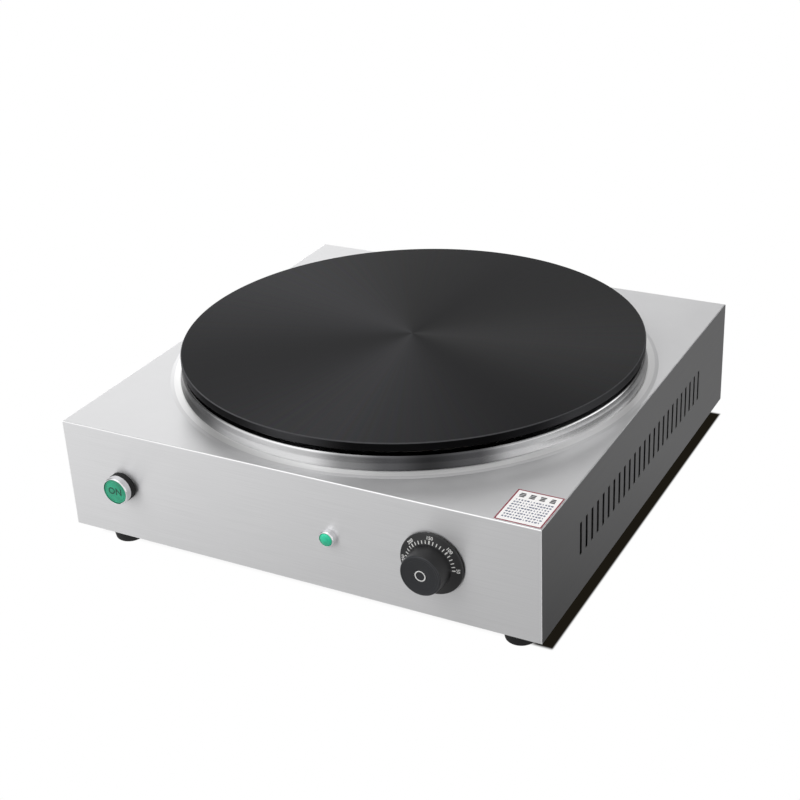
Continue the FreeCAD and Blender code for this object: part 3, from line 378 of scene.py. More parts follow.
iron = {
    "roughness": 0.5,
    # painted sheen in lighter and darker sectors: place round the plate, tone
    "fans": [(0.0, "#202021"), (0.042, "#242425"), (0.125, "#19191A"), (0.21, "#0C0C0E"), (0.26, "#0E0E10"),
             (0.34, "#1A1A1B"), (0.42, "#28282A"), (0.48, "#252527"), (0.56, "#18181A"), (0.63, "#111113"),
             (0.7, "#1C1C1E"), (0.76, "#28282A"), (0.8, "#252527"), (0.86, "#171719"), (0.92, "#0E0E10"),
             (1.0, "#202021")],
    "ringPitch": 2.0,           # mm; the tool's pitch is 0.4 mm, drawn wider so that the rings show
    "ringShare": 0.08,
    "rays": 240.0,              # short facing marks, drawn as fine rays of uneven tone
    "rayShare": 0.22,
    "sideBelow": 0.75 * mm,
    "sideOil": 0.05,            # how much glossier the side is
    # painted reflections in bands round the plate's side: place round the plate, tone
    "sideBands": [(0.0, "#343436"), (0.1, "#1C1C1E"), (0.45, "#1C1C1E"), (0.57, "#262628"), (0.611, "#404042"),
                  (0.64, "#2A2A2C"), (0.67, "#0E0E0F"), (0.7, "#101011"), (0.75, "#424244"), (0.79, "#0C0C0D"),
                  (0.87, "#070708"), (0.9, "#1E1E20"), (0.935, "#4A4A4C"), (0.965, "#464648"), (1.0, "#343436")],
    # a painted highlight along the rim's top edge: its width, depth below the top and tone
    "rimWidth": 0.9 * mm,
    "rimBelow": 0.72 * mm,
    "rimTone": "#4C4C4E",
    "grain": 1.6,
}


def seasonedIron():
    # Cast iron, faced on a lathe and oil-seasoned: matt black, with painted sheen in lighter and darker sectors,
    # a glossier side where the oil pooled with painted reflections in bands, and a painted highlight round the rim
    material, tree, shader = newMaterial("seasonedCastIron", "#232325", Specular_IOR_Level=0.04)
    whole, spot = plateAngle(tree)
    flat = addNode(tree, "ShaderNodeVectorMath", {"operation": "MULTIPLY"}, in0=spot, in1=(1.0, 1.0, 0.0))
    reach = addNode(tree, "ShaderNodeVectorMath", {"operation": "LENGTH"}, in0=flat).outputs["Value"]
    height = addNode(tree, "ShaderNodeSeparateXYZ", Vector=spot).outputs["Z"]
    # painted sheen in sectors round the plate's top
    tone = addNode(tree, "ShaderNodeValToRGB", {"ramp": ("CARDINAL", iron["fans"])}, Fac=whole)
    for place, scale, detail, share in ((reach, spacing(iron["ringPitch"]), 2.0, iron["ringShare"]),
                                        (whole, iron["rays"], 3.0, iron["rayShare"])):
        marks = addNode(tree, "ShaderNodeTexNoise", {"noise_dimensions": "1D"}, W=place, Scale=scale, Detail=detail)
        tone = addNode(tree, "ShaderNodeMix", {"data_type": "RGBA", "blend_type": "OVERLAY"}, Factor=share,
                       in6=tone, in7=marks.outputs["Color"]).outputs[2]
    onSide = addNode(tree, "ShaderNodeMath", {"operation": "LESS_THAN"}, in0=height,
                     in1=plateHigh.z - iron["sideBelow"])
    # painted reflections round the side
    sides = addNode(tree, "ShaderNodeValToRGB", {"ramp": ("EASE", iron["sideBands"])}, Fac=whole)
    nearEdge = addNode(tree, "ShaderNodeMath", {"operation": "GREATER_THAN"}, in0=reach,
                       in1=plateRadius - iron["rimWidth"])
    nearTop = addNode(tree, "ShaderNodeMath", {"operation": "GREATER_THAN"}, in0=height,
                      in1=plateHigh.z - iron["rimBelow"])
    onRim = addNode(tree, "ShaderNodeMath", {"operation": "MULTIPLY"}, in0=nearEdge, in1=nearTop)
    # painted reflections on the side and a painted highlight on the rim
    for where, colour in ((onSide, sides), (onRim, toLinear(iron["rimTone"]))):
        tone = addNode(tree, "ShaderNodeMix", {"data_type": "RGBA"}, Factor=where, in6=tone,
                       in7=colour).outputs[2]
    oil = addNode(tree, "ShaderNodeMath", {"operation": "MULTIPLY"}, in0=onSide, in1=iron["sideOil"])
    rough = addNode(tree, "ShaderNodeMath", {"operation": "SUBTRACT"}, in0=iron["roughness"], in1=oil)
    grain = addNode(tree, "ShaderNodeTexNoise", Vector=objectCoords(tree), Scale=spacing(iron["grain"]), Detail=4.0)
    bump = addNode(tree, "ShaderNodeBump", Strength=0.05, Distance=0.2 * mm, Height=grain)
    setInputs(tree, shader, Base_Color=tone, Roughness=rough, Normal=bump)
    return material


collarSteel = {
    # painted reflections, dark and bright round the ring: place round it, tone
    "paintedRingReflections": [(0.0, "#A0A0A1"), (0.1, "#C8C8C9"), (0.45, "#C8C8C9"), (0.56, "#3A3A3B"), (0.6, "#161617"),
                (0.635, "#2A2A2B"), (0.667, "#888889"), (0.7, "#D4D4D5"), (0.76, "#D4D4D5"), (0.785, "#8C8C8D"),
                (0.81, "#58585A"), (0.835, "#343435"), (0.865, "#58585A"), (0.89, "#B4B4B5"), (0.93, "#EDEDEE"),
                (0.975, "#EDEDEE"), (1.0, "#A0A0A1")],
    "ringPitch": 0.7,
    "roughness": (0.2, 0.3),
}


def polishedStainless():
    # Spun stainless, polished: smooth and bright, with fine rings from the spinning and painted reflections round the
    # ring
    material, tree, shader = newMaterial("polishedStainless", "#E2E2E3", Metallic=1.0)
    whole, spot = plateAngle(tree)
    # painted reflections round the ring, in the base colour
    tone = addNode(tree, "ShaderNodeValToRGB", {"ramp": ("EASE", collarSteel["paintedRingReflections"])}, Fac=whole)
    height = addNode(tree, "ShaderNodeSeparateXYZ", Vector=spot).outputs["Z"]
    rings = addNode(tree, "ShaderNodeTexNoise", {"noise_dimensions": "1D"}, W=height,
                    Scale=spacing(collarSteel["ringPitch"]), Detail=2.0)
    low, high = collarSteel["roughness"]
    shine = addNode(tree, "ShaderNodeMapRange", Value=rings, To_Min=low, To_Max=high)
    setInputs(tree, shader, Base_Color=tone, Roughness=shine)
    return material


def mouldedBlack(name, baseHex, roughness, grainMm, paintedLitFaceHex=None, faceFrom=0.0):
    # Moulded thermoset: black, satin, with the mould's fine spark grain; in front of faceFrom it is painted paler, as
    # painted light on the face
    material, tree, shader = newMaterial(name, baseHex)
    if paintedLitFaceHex:
        # the face is painted paler, as painted light
        depth = addNode(tree, "ShaderNodeSeparateXYZ", Vector=objectCoords(tree)).outputs["Y"]
        onFace = addNode(tree, "ShaderNodeMapRange", Value=depth, From_Min=faceFrom, From_Max=faceFrom - 0.5 * mm)
        tones = addNode(tree, "ShaderNodeMix", {"data_type": "RGBA"}, Factor=onFace, in6=toLinear(baseHex),
                        in7=toLinear(paintedLitFaceHex))
        setInputs(tree, shader, Base_Color=tones.outputs[2])
    grain = addNode(tree, "ShaderNodeTexNoise", Vector=objectCoords(tree), Scale=spacing(grainMm), Detail=3.0)
    bump = addNode(tree, "ShaderNodeBump", Strength=0.08, Distance=0.1 * mm, Height=grain)
    shine = addNode(tree, "ShaderNodeMapRange", Value=grain, To_Min=roughness - 0.05, To_Max=roughness + 0.07)
    setInputs(tree, shader, Normal=bump, Roughness=shine)
    return material


def platedMetal(name, baseHex, roughness):
    # Bright plating: hard and smooth, with a faint unevenness
    material, tree, shader = newMaterial(name, baseHex, Metallic=1.0)
    waves = addNode(tree, "ShaderNodeTexNoise", Vector=objectCoords(tree), Scale=spacing(6), Detail=2.0)
    shine = addNode(tree, "ShaderNodeMapRange", Value=waves, To_Min=roughness * 0.8, To_Max=roughness * 1.3)
    setInputs(tree, shader, Roughness=shine)
    return material


def lensPlastic(name, deepHex, brightHex, glow):
    # Tinted polycarbonate: glossy skin, colour that pools darker in places, and a glow as from a lit diffuser, which
    # is painted light where no lamp lies behind
    material, tree, shader = newMaterial(name, deepHex, Roughness=0.22, Coat_Weight=0.25, Coat_Roughness=0.08,
                                         Emission_Strength=glow)
    pools = addNode(tree, "ShaderNodeTexNoise", Vector=objectCoords(tree), Scale=spacing(9), Detail=1.0)
    tone = addNode(tree, "ShaderNodeValToRGB", {"ramp": ("LINEAR", [(0.3, deepHex), (0.7, brightHex)])}, Fac=pools)
    setInputs(tree, shader, Base_Color=tone, Emission_Color=tone)
    return material


def speckled(name, lowHex, highHex, cellMm, roughness, metallic=0.0):
    # A plain finish with a two-tone mottle, for zinc, fibre, nylon and moulded parts
    material, tree, shader = newMaterial(name, lowHex, Roughness=roughness, Metallic=metallic)
    spots = addNode(tree, "ShaderNodeTexNoise", Vector=objectCoords(tree), Scale=spacing(cellMm), Detail=3.0)
    tone = addNode(tree, "ShaderNodeValToRGB", {"ramp": ("LINEAR", [(0.35, lowHex), (0.65, highHex)])}, Fac=spots)
    bump = addNode(tree, "ShaderNodeBump", Strength=0.06, Distance=0.2 * mm, Height=spots)
    setInputs(tree, shader, Base_Color=tone, Normal=bump)
    return material


finishes = {
    "casing_stainless": brushedStainless(),
    "seasoned_iron": seasonedIron(),
    "polished_stainless": polishedStainless(),
    # the knob's face, 20 mm before the panel, is painted paler as painted light
    "black_moulded": mouldedBlack("phenolicBlack", "#0D0D0F", 0.34, 0.5, "#202226", frontFace - 20 * mm),
    "knob_cap_black": mouldedBlack("absBlackCap", "#24262A", 0.28, 0.6),
    "black_rubber": mouldedBlack("nitrileRubber", "#0C0C0C", 0.72, 0.9),
    "chromed_bezel": platedMetal("chromePlate", "#E6E6E8", 0.09),
    # the push button's cap has no lamp behind it: its glow is painted light
    "green_lens": lensPlastic("greenPolycarbonate", "#05805F", "#0A9C76", 0.32),
    "lamp_lens_green": lensPlastic("pilotLensGreen", "#0C9E78", "#22C89C", 0.35),
    "sticker_paper": speckled("coatedPaper", "#F1EFEE", "#F6F5F4", 0.4, 0.45),
    "ceramic_blanket": speckled("ceramicFibre", "#D8D6CF", "#E8E6E0", 1.5, 0.95),
    "galvanised_sheet": speckled("hotDipZinc", "#8E9092", "#A2A4A6", 6.0, 0.42, 0.9),
    "element_sheath": speckled("incoloySheath", "#4A4640", "#5E5850", 3.0, 0.45, 0.9),
    "thermostat_case": speckled("pressedSteel", "#8B8B8A", "#9A9A99", 2.0, 0.4, 0.9),
    "brass_parts": speckled("brassTurned", "#B08A43", "#C29B52", 2.0, 0.3, 1.0),
    "copper_tube": speckled("copperDrawn", "#A8603C", "#B97350", 2.0, 0.35, 1.0),
    "moulded_grey": speckled("polyamideGrey", "#4B4D4F", "#55575A", 0.8, 0.5),
    "moulded_white": speckled("polyamideWhite", "#DAD9D3", "#E4E3DE", 0.8, 0.45),
    "zinc_steel": speckled("zincPlatedSteel", "#9A9A96", "#ABABA7", 1.0, 0.3, 1.0),
    "spring_steel": speckled("springWire", "#8A8A8C", "#98989A", 0.6, 0.3, 1.0),
    "gland_nylon": mouldedBlack("polyamideBlack", "#141414", 0.5, 0.7),
    "lead_silicone": speckled("siliconeSleeve", "#B9B2A2", "#C6C0B2", 1.0, 0.7),
    "print_white": speckled("padPrintWhite", "#ECECEA", "#F4F4F2", 0.3, 0.6),
    "print_green": speckled("padPrintDarkGreen", "#0A4A38", "#0C5540", 0.3, 0.5),
    "print_red": speckled("labelInkRed", "#7A1F33", "#8A2A3E", 0.4, 0.5),
    "print_blue": speckled("labelInkBlue", "#5C6078", "#6F7388", 0.4, 0.5),
    "print_black": speckled("labelInkBlack", "#2C2C30", "#38383C", 0.4, 0.5),
}
for entry in frame["record"]["subparts"]:
    node = nodes[entry["node"]]
    node.data.materials.clear()
    node.data.materials.append(finishes[entry["material_slot"]])
print("materials assigned")


# Plate and collar

plate = {"segments": 360, "bodyRadius": 188 * mm, "rim": 7 * mm, "edge": 0.7 * mm, "rounding": 0.5 * mm}


def makePlate():
    height = plateHigh.z - plateLow.z
    outline = [
        (0, 0),
        (plate["bodyRadius"], 0),
        (plate["bodyRadius"], height - plate["rim"]),
        (plateRadius, height - plate["rim"]),
        (plateRadius, height - plate["edge"]),
        (plateRadius - plate["edge"], height),
        (plateRadius * 0.66, height),
        (plateRadius * 0.33, height),
        (0, height),
    ]
    outline = roundCorners(outline[:6], plate["rounding"], 3) + outline[5:]
    place = Matrix.Translation((plateCentre.x, plateCentre.y, plateLow.z))
    mesh = latheMesh("griddlePlate", outline, plate["segments"], place)
    plainMesh("griddlePlate", mesh, finishes["seasoned_iron"], "casing", ["griddle_plate"])


collar = {"segments": 360, "baseRadius": 202 * mm, "topRadius": 200.2 * mm, "sheet": 1 * mm, "roll": 1.2 * mm,
          "lip": 5 * mm, "foot": 11 * mm, "rounding": 0.8 * mm, "smoothAngle": 50}


def makeCollar():
    height = collarHigh.z - collarLow.z
    base, top, sheet, roll = collar["baseRadius"], collar["topRadius"], collar["sheet"], collar["roll"]
    outline = [
        (base - collar["foot"], sheet),
        (base - collar["foot"], 0),
        (base, 0),
        (base - 0.2 * mm, 1.2 * mm),
        (top + 0.35 * mm, height * 0.5),
        (top, height - roll),
        (top - roll, height),
        (top - roll - collar["lip"], height),
        (top - roll - collar["lip"], height - sheet),
        (top - roll, height - sheet),
        (base - sheet, sheet),
        (base - collar["foot"], sheet),
    ]
    outline = roundCorners(outline, collar["rounding"])
    place = Matrix.Translation((plateCentre.x, plateCentre.y, collarLow.z))
    mesh = latheMesh("plateCollar", outline, collar["segments"], place, collar["smoothAngle"])
    plainMesh("plateCollar", mesh, finishes["polished_stainless"], "casing", ["plate_collar"])


makePlate()
makeCollar()
print("plate and collar made")


# Geometry Nodes for what repeats

def newTree(name, inputs):
    tree = bpy.data.node_groups.new(name, "GeometryNodeTree")
    for inputName, kind, value in inputs:
        socket = tree.interface.new_socket(inputName, in_out="INPUT", socket_type=kind)
        if value is not None:
            socket.default_value = value
    tree.interface.new_socket("Mesh", in_out="OUTPUT", socket_type="NodeSocketGeometry")
    given = tree.nodes.new("NodeGroupInput").outputs
    return tree, given


def finishTree(tree, geometry, material):
    real = addNode(tree, "GeometryNodeRealizeInstances", Geometry=geometry)
    painted = addNode(tree, "GeometryNodeSetMaterial", Geometry=real, Material=material)
    addNode(tree, "NodeGroupOutput", in0=painted)


def makeDialTree():
    # Ticks round a dial on a cone: each one's angle comes from its index, and every fifth is bolder
    tree, given = newTree("dialTicks", [
        ("Count", "NodeSocketInt", 26),
        ("First Angle", "NodeSocketFloat", 0.0),
        ("Step", "NodeSocketFloat", 0.1),
        ("Radius", "NodeSocketFloat", 0.02),
        ("Height", "NodeSocketFloat", 0.004),
        ("Size", "NodeSocketVector", (0.0004, 0.002, 0.0001)),
        ("Slope", "NodeSocketFloat", 0.0),
        ("Bold Every", "NodeSocketFloat", 5.0),
        ("Bold", "NodeSocketFloat", 1.8),
        ("Material", "NodeSocketMaterial", None),
    ])
    index = addNode(tree, "GeometryNodeInputIndex")
    steps = addNode(tree, "ShaderNodeMath", {"operation": "MULTIPLY"}, in0=index, in1=given["Step"])
    turned = addNode(tree, "ShaderNodeMath", {"operation": "ADD"}, in0=given["First Angle"], in1=steps)
    sideways, upward = (
        addNode(tree, "ShaderNodeMath", {"operation": "MULTIPLY"}, in1=given["Radius"],
                in0=addNode(tree, "ShaderNodeMath", {"operation": wave}, in0=turned))
        for wave in ("SINE", "COSINE"))
    place = addNode(tree, "ShaderNodeCombineXYZ", X=sideways, Y=upward, Z=given["Height"])
    points = addNode(tree, "GeometryNodePoints", Count=given["Count"], Position=place)
    block = addNode(tree, "GeometryNodeMeshCube", Size=given["Size"])
    lean, turn = (addNode(tree, "ShaderNodeMath", {"operation": "MULTIPLY"}, in0=angle, in1=-1.0)
                  for angle in (given["Slope"], turned))
    leaning = addNode(tree, "GeometryNodeTransform", Geometry=block,
                      Rotation=addNode(tree, "ShaderNodeCombineXYZ", X=lean))
    spin = addNode(tree, "ShaderNodeCombineXYZ", Z=turn)
    remainder = addNode(tree, "ShaderNodeMath", {"operation": "MODULO"}, in0=index, in1=given["Bold Every"])
    isBold = addNode(tree, "ShaderNodeMath", {"operation": "LESS_THAN"}, in0=remainder, in1=0.5)
    extra = addNode(tree, "ShaderNodeMath", {"operation": "SUBTRACT"}, in0=given["Bold"], in1=1.0)
    width = addNode(tree, "ShaderNodeMath", {"operation": "MULTIPLY_ADD"}, in0=isBold, in1=extra, in2=1.0)
    wide = addNode(tree, "ShaderNodeCombineXYZ", X=width, Y=1.0, Z=1.0)
    ticks = addNode(tree, "GeometryNodeInstanceOnPoints", Points=points, Instance=leaning, Rotation=spin, Scale=wide)
    finishTree(tree, ticks, given["Material"])
    return tree


def makeRowsTree():
    # Rows of little dashes of uneven length, which stand for unreadable print
    tree, given = newTree("printedRows", [
        ("Columns", "NodeSocketInt", 8),
        ("Rows", "NodeSocketInt", 6),
        ("Width", "NodeSocketFloat", 0.03),
        ("Depth", "NodeSocketFloat", 0.03),
        ("Dash", "NodeSocketVector", (0.002, 0.0006, 0.00004)),
        ("Shortest", "NodeSocketFloat", 0.4),
        ("Seed", "NodeSocketInt", 3),
        ("Material", "NodeSocketMaterial", None),
    ])
    grid = addNode(tree, "GeometryNodeMeshGrid", Size_X=given["Width"], Size_Y=given["Depth"],
                   Vertices_X=given["Columns"], Vertices_Y=given["Rows"])
    points = addNode(tree, "GeometryNodeMeshToPoints", Mesh=grid)
    block = addNode(tree, "GeometryNodeMeshCube", Size=given["Dash"])
    uneven = addNode(tree, "FunctionNodeRandomValue", {"data_type": "FLOAT"}, in2=given["Shortest"], in3=1.0,
                     Seed=given["Seed"])
    scale = addNode(tree, "ShaderNodeCombineXYZ", X=uneven.outputs[1], Y=1.0, Z=1.0)
    dashes = addNode(tree, "GeometryNodeInstanceOnPoints", Points=points, Instance=block, Scale=scale)
    finishTree(tree, dashes, given["Material"])
    return tree


# Temperature knob with its dial

knob = {
    "segments": 192,
    "rounding": 0.3 * mm,
    "capSegments": 96,
    "capRounding": 0.2 * mm,
    "outline": inMetres((0, 14.6), (3.1, 14.6), (3.1, 2.3), (7, 2.3), (7, 3.8), (16.4, 3.8), (24.6, 1.7),
                        (24.6, 1.0), (25.75, 1.0), (26, 1.3), (26, 2.5), (25.5, 3.0), (17.8, 5.2),
                        (16.8, 19.0), (16.8, 20.1), (16.4, 20.9), (15.7, 21.2), (14.6, 20.83), (13.2, 20.8),
                        (13.0, 20.7), (5.1, 20.7), (5.1, 19.7), (0, 19.7)),
    "cap": inMetres((0, 19.7), (5, 19.7), (5, 20.5), (4.7, 20.7), (0, 20.7)),
    "coneFoot": (25.5 * mm, 3.0 * mm),
    "coneTop": (17.8 * mm, 5.2 * mm),
    "ticks": {"from": 90, "to": -135, "step": 9, "radius": 19.6 * mm, "size": (0.75 * mm, 2.7 * mm, 0.08 * mm),
              "boldEvery": 5, "bold": 1.4},
    "numbers": {"50": 90, "100": 45, "150": 0, "200": -45, "250": -90, "300": -135},
    "numberRadius": 22.7 * mm,
    "numberHeight": 3.8 * mm,
    "numberWeight": 0.07 * mm,
    "printThickness": 0.06 * mm,
    "badge": inMetres((3.6, 20.69), (3.6, 20.74), (4.5, 20.74), (4.5, 20.69), (3.6, 20.69)),
}


def frontPlace(centre):
    return Matrix.Translation((centre.x, frontFace, centre.z)) @ facingFront


def makeKnob():
    place = frontPlace(knobCentre)
    outline = roundCorners(knob["outline"], knob["rounding"], 3)
    body = latheMesh("temperatureKnob", outline, knob["segments"], place)
    plainMesh("temperatureKnob", body, finishes["black_moulded"], "knob", ["temperature_knob"])
    outline = roundCorners(knob["cap"], knob["capRounding"], 3)
    cap = latheMesh("knobCap", outline, knob["capSegments"], place)
    plainMesh("knobCap", cap, finishes["knob_cap_black"], "knob", ["knob_cap"])
    badge = latheMesh("knobRing", knob["badge"], knob["capSegments"], place)
    plainMesh("knobRing", badge, finishes["print_white"], "knob")
    footRadius, footHeight = knob["coneFoot"]
    topRadius, topHeight = knob["coneTop"]
    slope = math.atan2(topHeight - footHeight, footRadius - topRadius)

    def coneHeight(radius):
        return topHeight - (radius - topRadius) * math.tan(slope)

    ticks = knob["ticks"]
    count = round((ticks["from"] - ticks["to"]) / ticks["step"]) + 1
    tickMesh = grownMesh("dialTicks", makeDialTree(), {
        "Count": count,
        "First Angle": math.radians(ticks["from"]),
        "Step": -math.radians(ticks["step"]),
        "Radius": ticks["radius"],
        "Height": coneHeight(ticks["radius"]),
        "Size": ticks["size"],
        "Slope": slope,
        "Bold Every": ticks["boldEvery"],
        "Bold": ticks["bold"],
        "Material": finishes["print_white"],
    })
    parts = [(tickMesh, place)]
    for words, degrees in knob["numbers"].items():
        radius = knob["numberRadius"]
        matrix = (place @ Matrix.Rotation(-math.radians(degrees), 4, "Z")
                  @ Matrix.Translation((0, radius, coneHeight(radius)))
                  @ Matrix.Rotation(-slope, 4, "X"))
        parts.append((textMesh(words, knob["numberHeight"], knob["printThickness"], knob["numberWeight"]), matrix))
    marks = joinedMesh("dialMarks", parts)
    plainMesh("dialMarks", marks, finishes["print_white"], "knob")


# Push button and pilot lamp

button = {
    "gasket": inMetres((11.1, 0), (12.3, 0), (12.3, 2.3), (12.0, 2.6), (12.3, 2.9), (12.3, 5.2), (11.1, 5.2),
                       (11.1, 0)),
    "bezel": inMetres((8, -19), (10.9, -19), (10.9, 5.2), (12.1, 5.2), (12.1, 10.5), (11.5, 11.3), (11.0, 11.3),
                      (11.0, 6.2), (8, 6.2), (8, -19)),
    "lens": inMetres((0, 9.5), (10.6, 9.5), (10.6, 10.3), (10.1, 10.8), (9.5, 10.8), (9.3, 10.5), (9.0, 10.5),
                     (8.8, 10.8), (0, 10.8)),
    "word": "ON",
    "wordHeight": 8.5 * mm,
    "wordThickness": 0.06 * mm,
    "wordWeight": 0.15 * mm,
    "segments": 128,
    "face": 10.82 * mm,
    "travel": 3.2 * mm,     # 3 mm of travel and a little clearance for the spring's end
}

pilotLamp = {
    "bezel": inMetres((3.8, -12), (4.9, -12), (4.9, 0), (6.9, 0), (6.9, 4.6), (6.1, 5.5), (5.6, 5.5), (5.6, 3.0),
                      (3.8, 3.0), (3.8, -12)),
    "lens": inMetres((0, 3.0), (5.3, 3.0), (5.3, 4.73), (4.9, 5.44), (4.0, 5.97), (2.4, 6.32), (0, 6.5)),
}


def makeControls():
    place = frontPlace(buttonCentre)
    turned = [
        ("buttonGasket", button["gasket"], "casing", "button_gasket", "black_rubber", place, 0.3),
        ("buttonBezel", button["bezel"], "casing", "button_bezel", "chromed_bezel", place, 0.35),
        ("buttonCap", button["lens"], "button", "button_cap", "green_lens", place, 0.25),
        ("lampBezel", pilotLamp["bezel"], "casing", "lamp_bezel", "chromed_bezel", frontPlace(lampCentre), 0.3),
        ("lampLens", pilotLamp["lens"], "casing", "lamp_lens", "lamp_lens_green", frontPlace(lampCentre), 0.5),
    ]
    for name, outline, body, node, slot, matrix, rounding in turned:
        mesh = latheMesh(name, roundCorners(outline, rounding * mm), button["segments"], matrix)
        plainMesh(name, mesh, finishes[slot], body, [node])
    word = textMesh(button["word"], button["wordHeight"], button["wordThickness"], button["wordWeight"])
    word.transform(place @ Matrix.Translation((0, 0, button["face"])))
    plainMesh("buttonWord", word, finishes["print_green"], "button")


def makeSpring():
    # The return spring, which shortens towards its rear seat as the button goes in; here it is the CAD mesh, fixed to
    # the casing
    work = bmesh.new()
    work.from_mesh(nodes["button_spring"].data)
    bmesh.ops.remove_doubles(work, verts=work.verts, dist=1e-6)
    bmesh.ops.recalc_face_normals(work, faces=work.faces)
    mesh = bpy.data.meshes.new("buttonSpring")
    work.to_mesh(mesh)
    work.free()
    shadeByAngle(mesh, 50)
    spring = plainMesh("buttonSpring", mesh, finishes["spring_steel"], "casing", ["button_spring"])
    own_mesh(spring)


# Feet, gland nut and sticker

foot = {
    "outline": inMetres((2.8, 11), (6, 11), (6, 0), (11.3, 0), (12.5, 1.2), (16, 22), (2.8, 22), (2.8, 11)),
    "rounding": 0.8 * mm,
    "segments": 96,
}
glandNut = {
    "outline": inMetres((9.05, 6.1), (12.5, 6.1), (12.5, 17.7), (11.6, 20), (9.5, 21.2), (5.4, 21.2), (5.4, 17.2),
                        (9.05, 17.2), (9.05, 6.1)),
    "rounding": 0.8 * mm,
    "segments": 216,
    "grooves": (18, 0.5 * mm, 12 * mm),     # how many, how deep, least radius
}
sticker = {
    "borderInset": 0.1 * mm,
    "borderLine": 1.2 * mm,
    "printThickness": 0.04 * mm,
    "headerRows": {"Columns": 4, "Rows": 3, "Width": 24 * mm, "Depth": 4.2 * mm,
                   "Dash": (5.0 * mm, 1.6 * mm, 0.04 * mm), "Shortest": 0.6, "Seed": 5},
    "headerPlace": 0.34,
    "bodyRows": {"Columns": 13, "Rows": 8, "Width": 28 * mm, "Depth": 25 * mm,
                 "Dash": (2.0 * mm, 1.7 * mm, 0.04 * mm), "Shortest": 0.3, "Seed": 11},
    "bodyPlace": -0.09,
}


def makeFeet():
    for node in ("foot_front_left", "foot_rear_left", "foot_front_right", "foot_rear_right"):
        centre = centreOf(node)
        mesh = latheMesh(node, roundCorners(foot["outline"], foot["rounding"]), foot["segments"],
                         Matrix.Translation((centre.x, centre.y, 0)))
        sides = "".join(word.capitalize() for word in node.split("_")[1:])
        plainMesh("foot" + sides, mesh, finishes["black_rubber"], "casing", [node])


def makeGlandNut():
    centre = centreOf("gland_dome_nut")
    place = Matrix.Translation((centre.x, casingHigh.y, centre.z)) @ facingBack
    mesh = latheMesh("glandNut", roundCorners(glandNut["outline"], glandNut["rounding"]), glandNut["segments"],
                     place, grooves=glandNut["grooves"])
    plainMesh("glandNut", mesh, finishes["gland_nylon"], "casing", ["gland_dome_nut"])


def frameMesh(name, low, high, line, thickness):
    # A thin printed frame inside a rectangle, with its top at high.z + thickness
    work = bmesh.new()
    for lowX, lowY, highX, highY in ((low.x, low.y, high.x, low.y + line),
                                     (low.x, high.y - line, high.x, high.y),
                                     (low.x, low.y + line, low.x + line, high.y - line),
                                     (high.x - line, low.y + line, high.x, high.y - line)):
        made = bmesh.ops.create_cube(work, size=1)["verts"]
        size = Vector((highX - lowX, highY - lowY, thickness))
        middle = Vector(((lowX + highX) / 2, (lowY + highY) / 2, high.z + thickness / 2))
        for vertex in made:
            vertex.co = Vector(a * b for a, b in zip(vertex.co, size)) + middle
    mesh = bpy.data.meshes.new(name)
    work.to_mesh(mesh)
    work.free()
    return mesh


def makeSticker():
    low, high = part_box("label_sticker")
    inset = Vector((sticker["borderInset"], sticker["borderInset"], 0))
    border = frameMesh("stickerBorder", low + inset, high - inset, sticker["borderLine"],
                       sticker["printThickness"])
    plainMesh("stickerBorder", border, finishes["print_red"], "casing")
    middle = (low + high) / 2
    tree = makeRowsTree()
    for name, rows, place, ink in (("stickerHeader", "headerRows", "headerPlace", "print_black"),
                                   ("stickerRows", "bodyRows", "bodyPlace", "print_blue")):
        mesh = grownMesh(name, tree, {**sticker[rows], "Material": finishes[ink]})
        lift = high.z + sticker["printThickness"] / 2
        mesh.transform(Matrix.Translation((middle.x, middle.y + sticker[place] * (high.y - low.y), lift)))
        plainMesh(name, mesh, finishes[ink], "casing")


makeKnob()
print("knob and dial made")
makeControls()
makeSpring()
print("button, spring and lamp made")
makeFeet()
makeGlandNut()
makeSticker()
print("feet, gland nut and sticker made")


# Studio

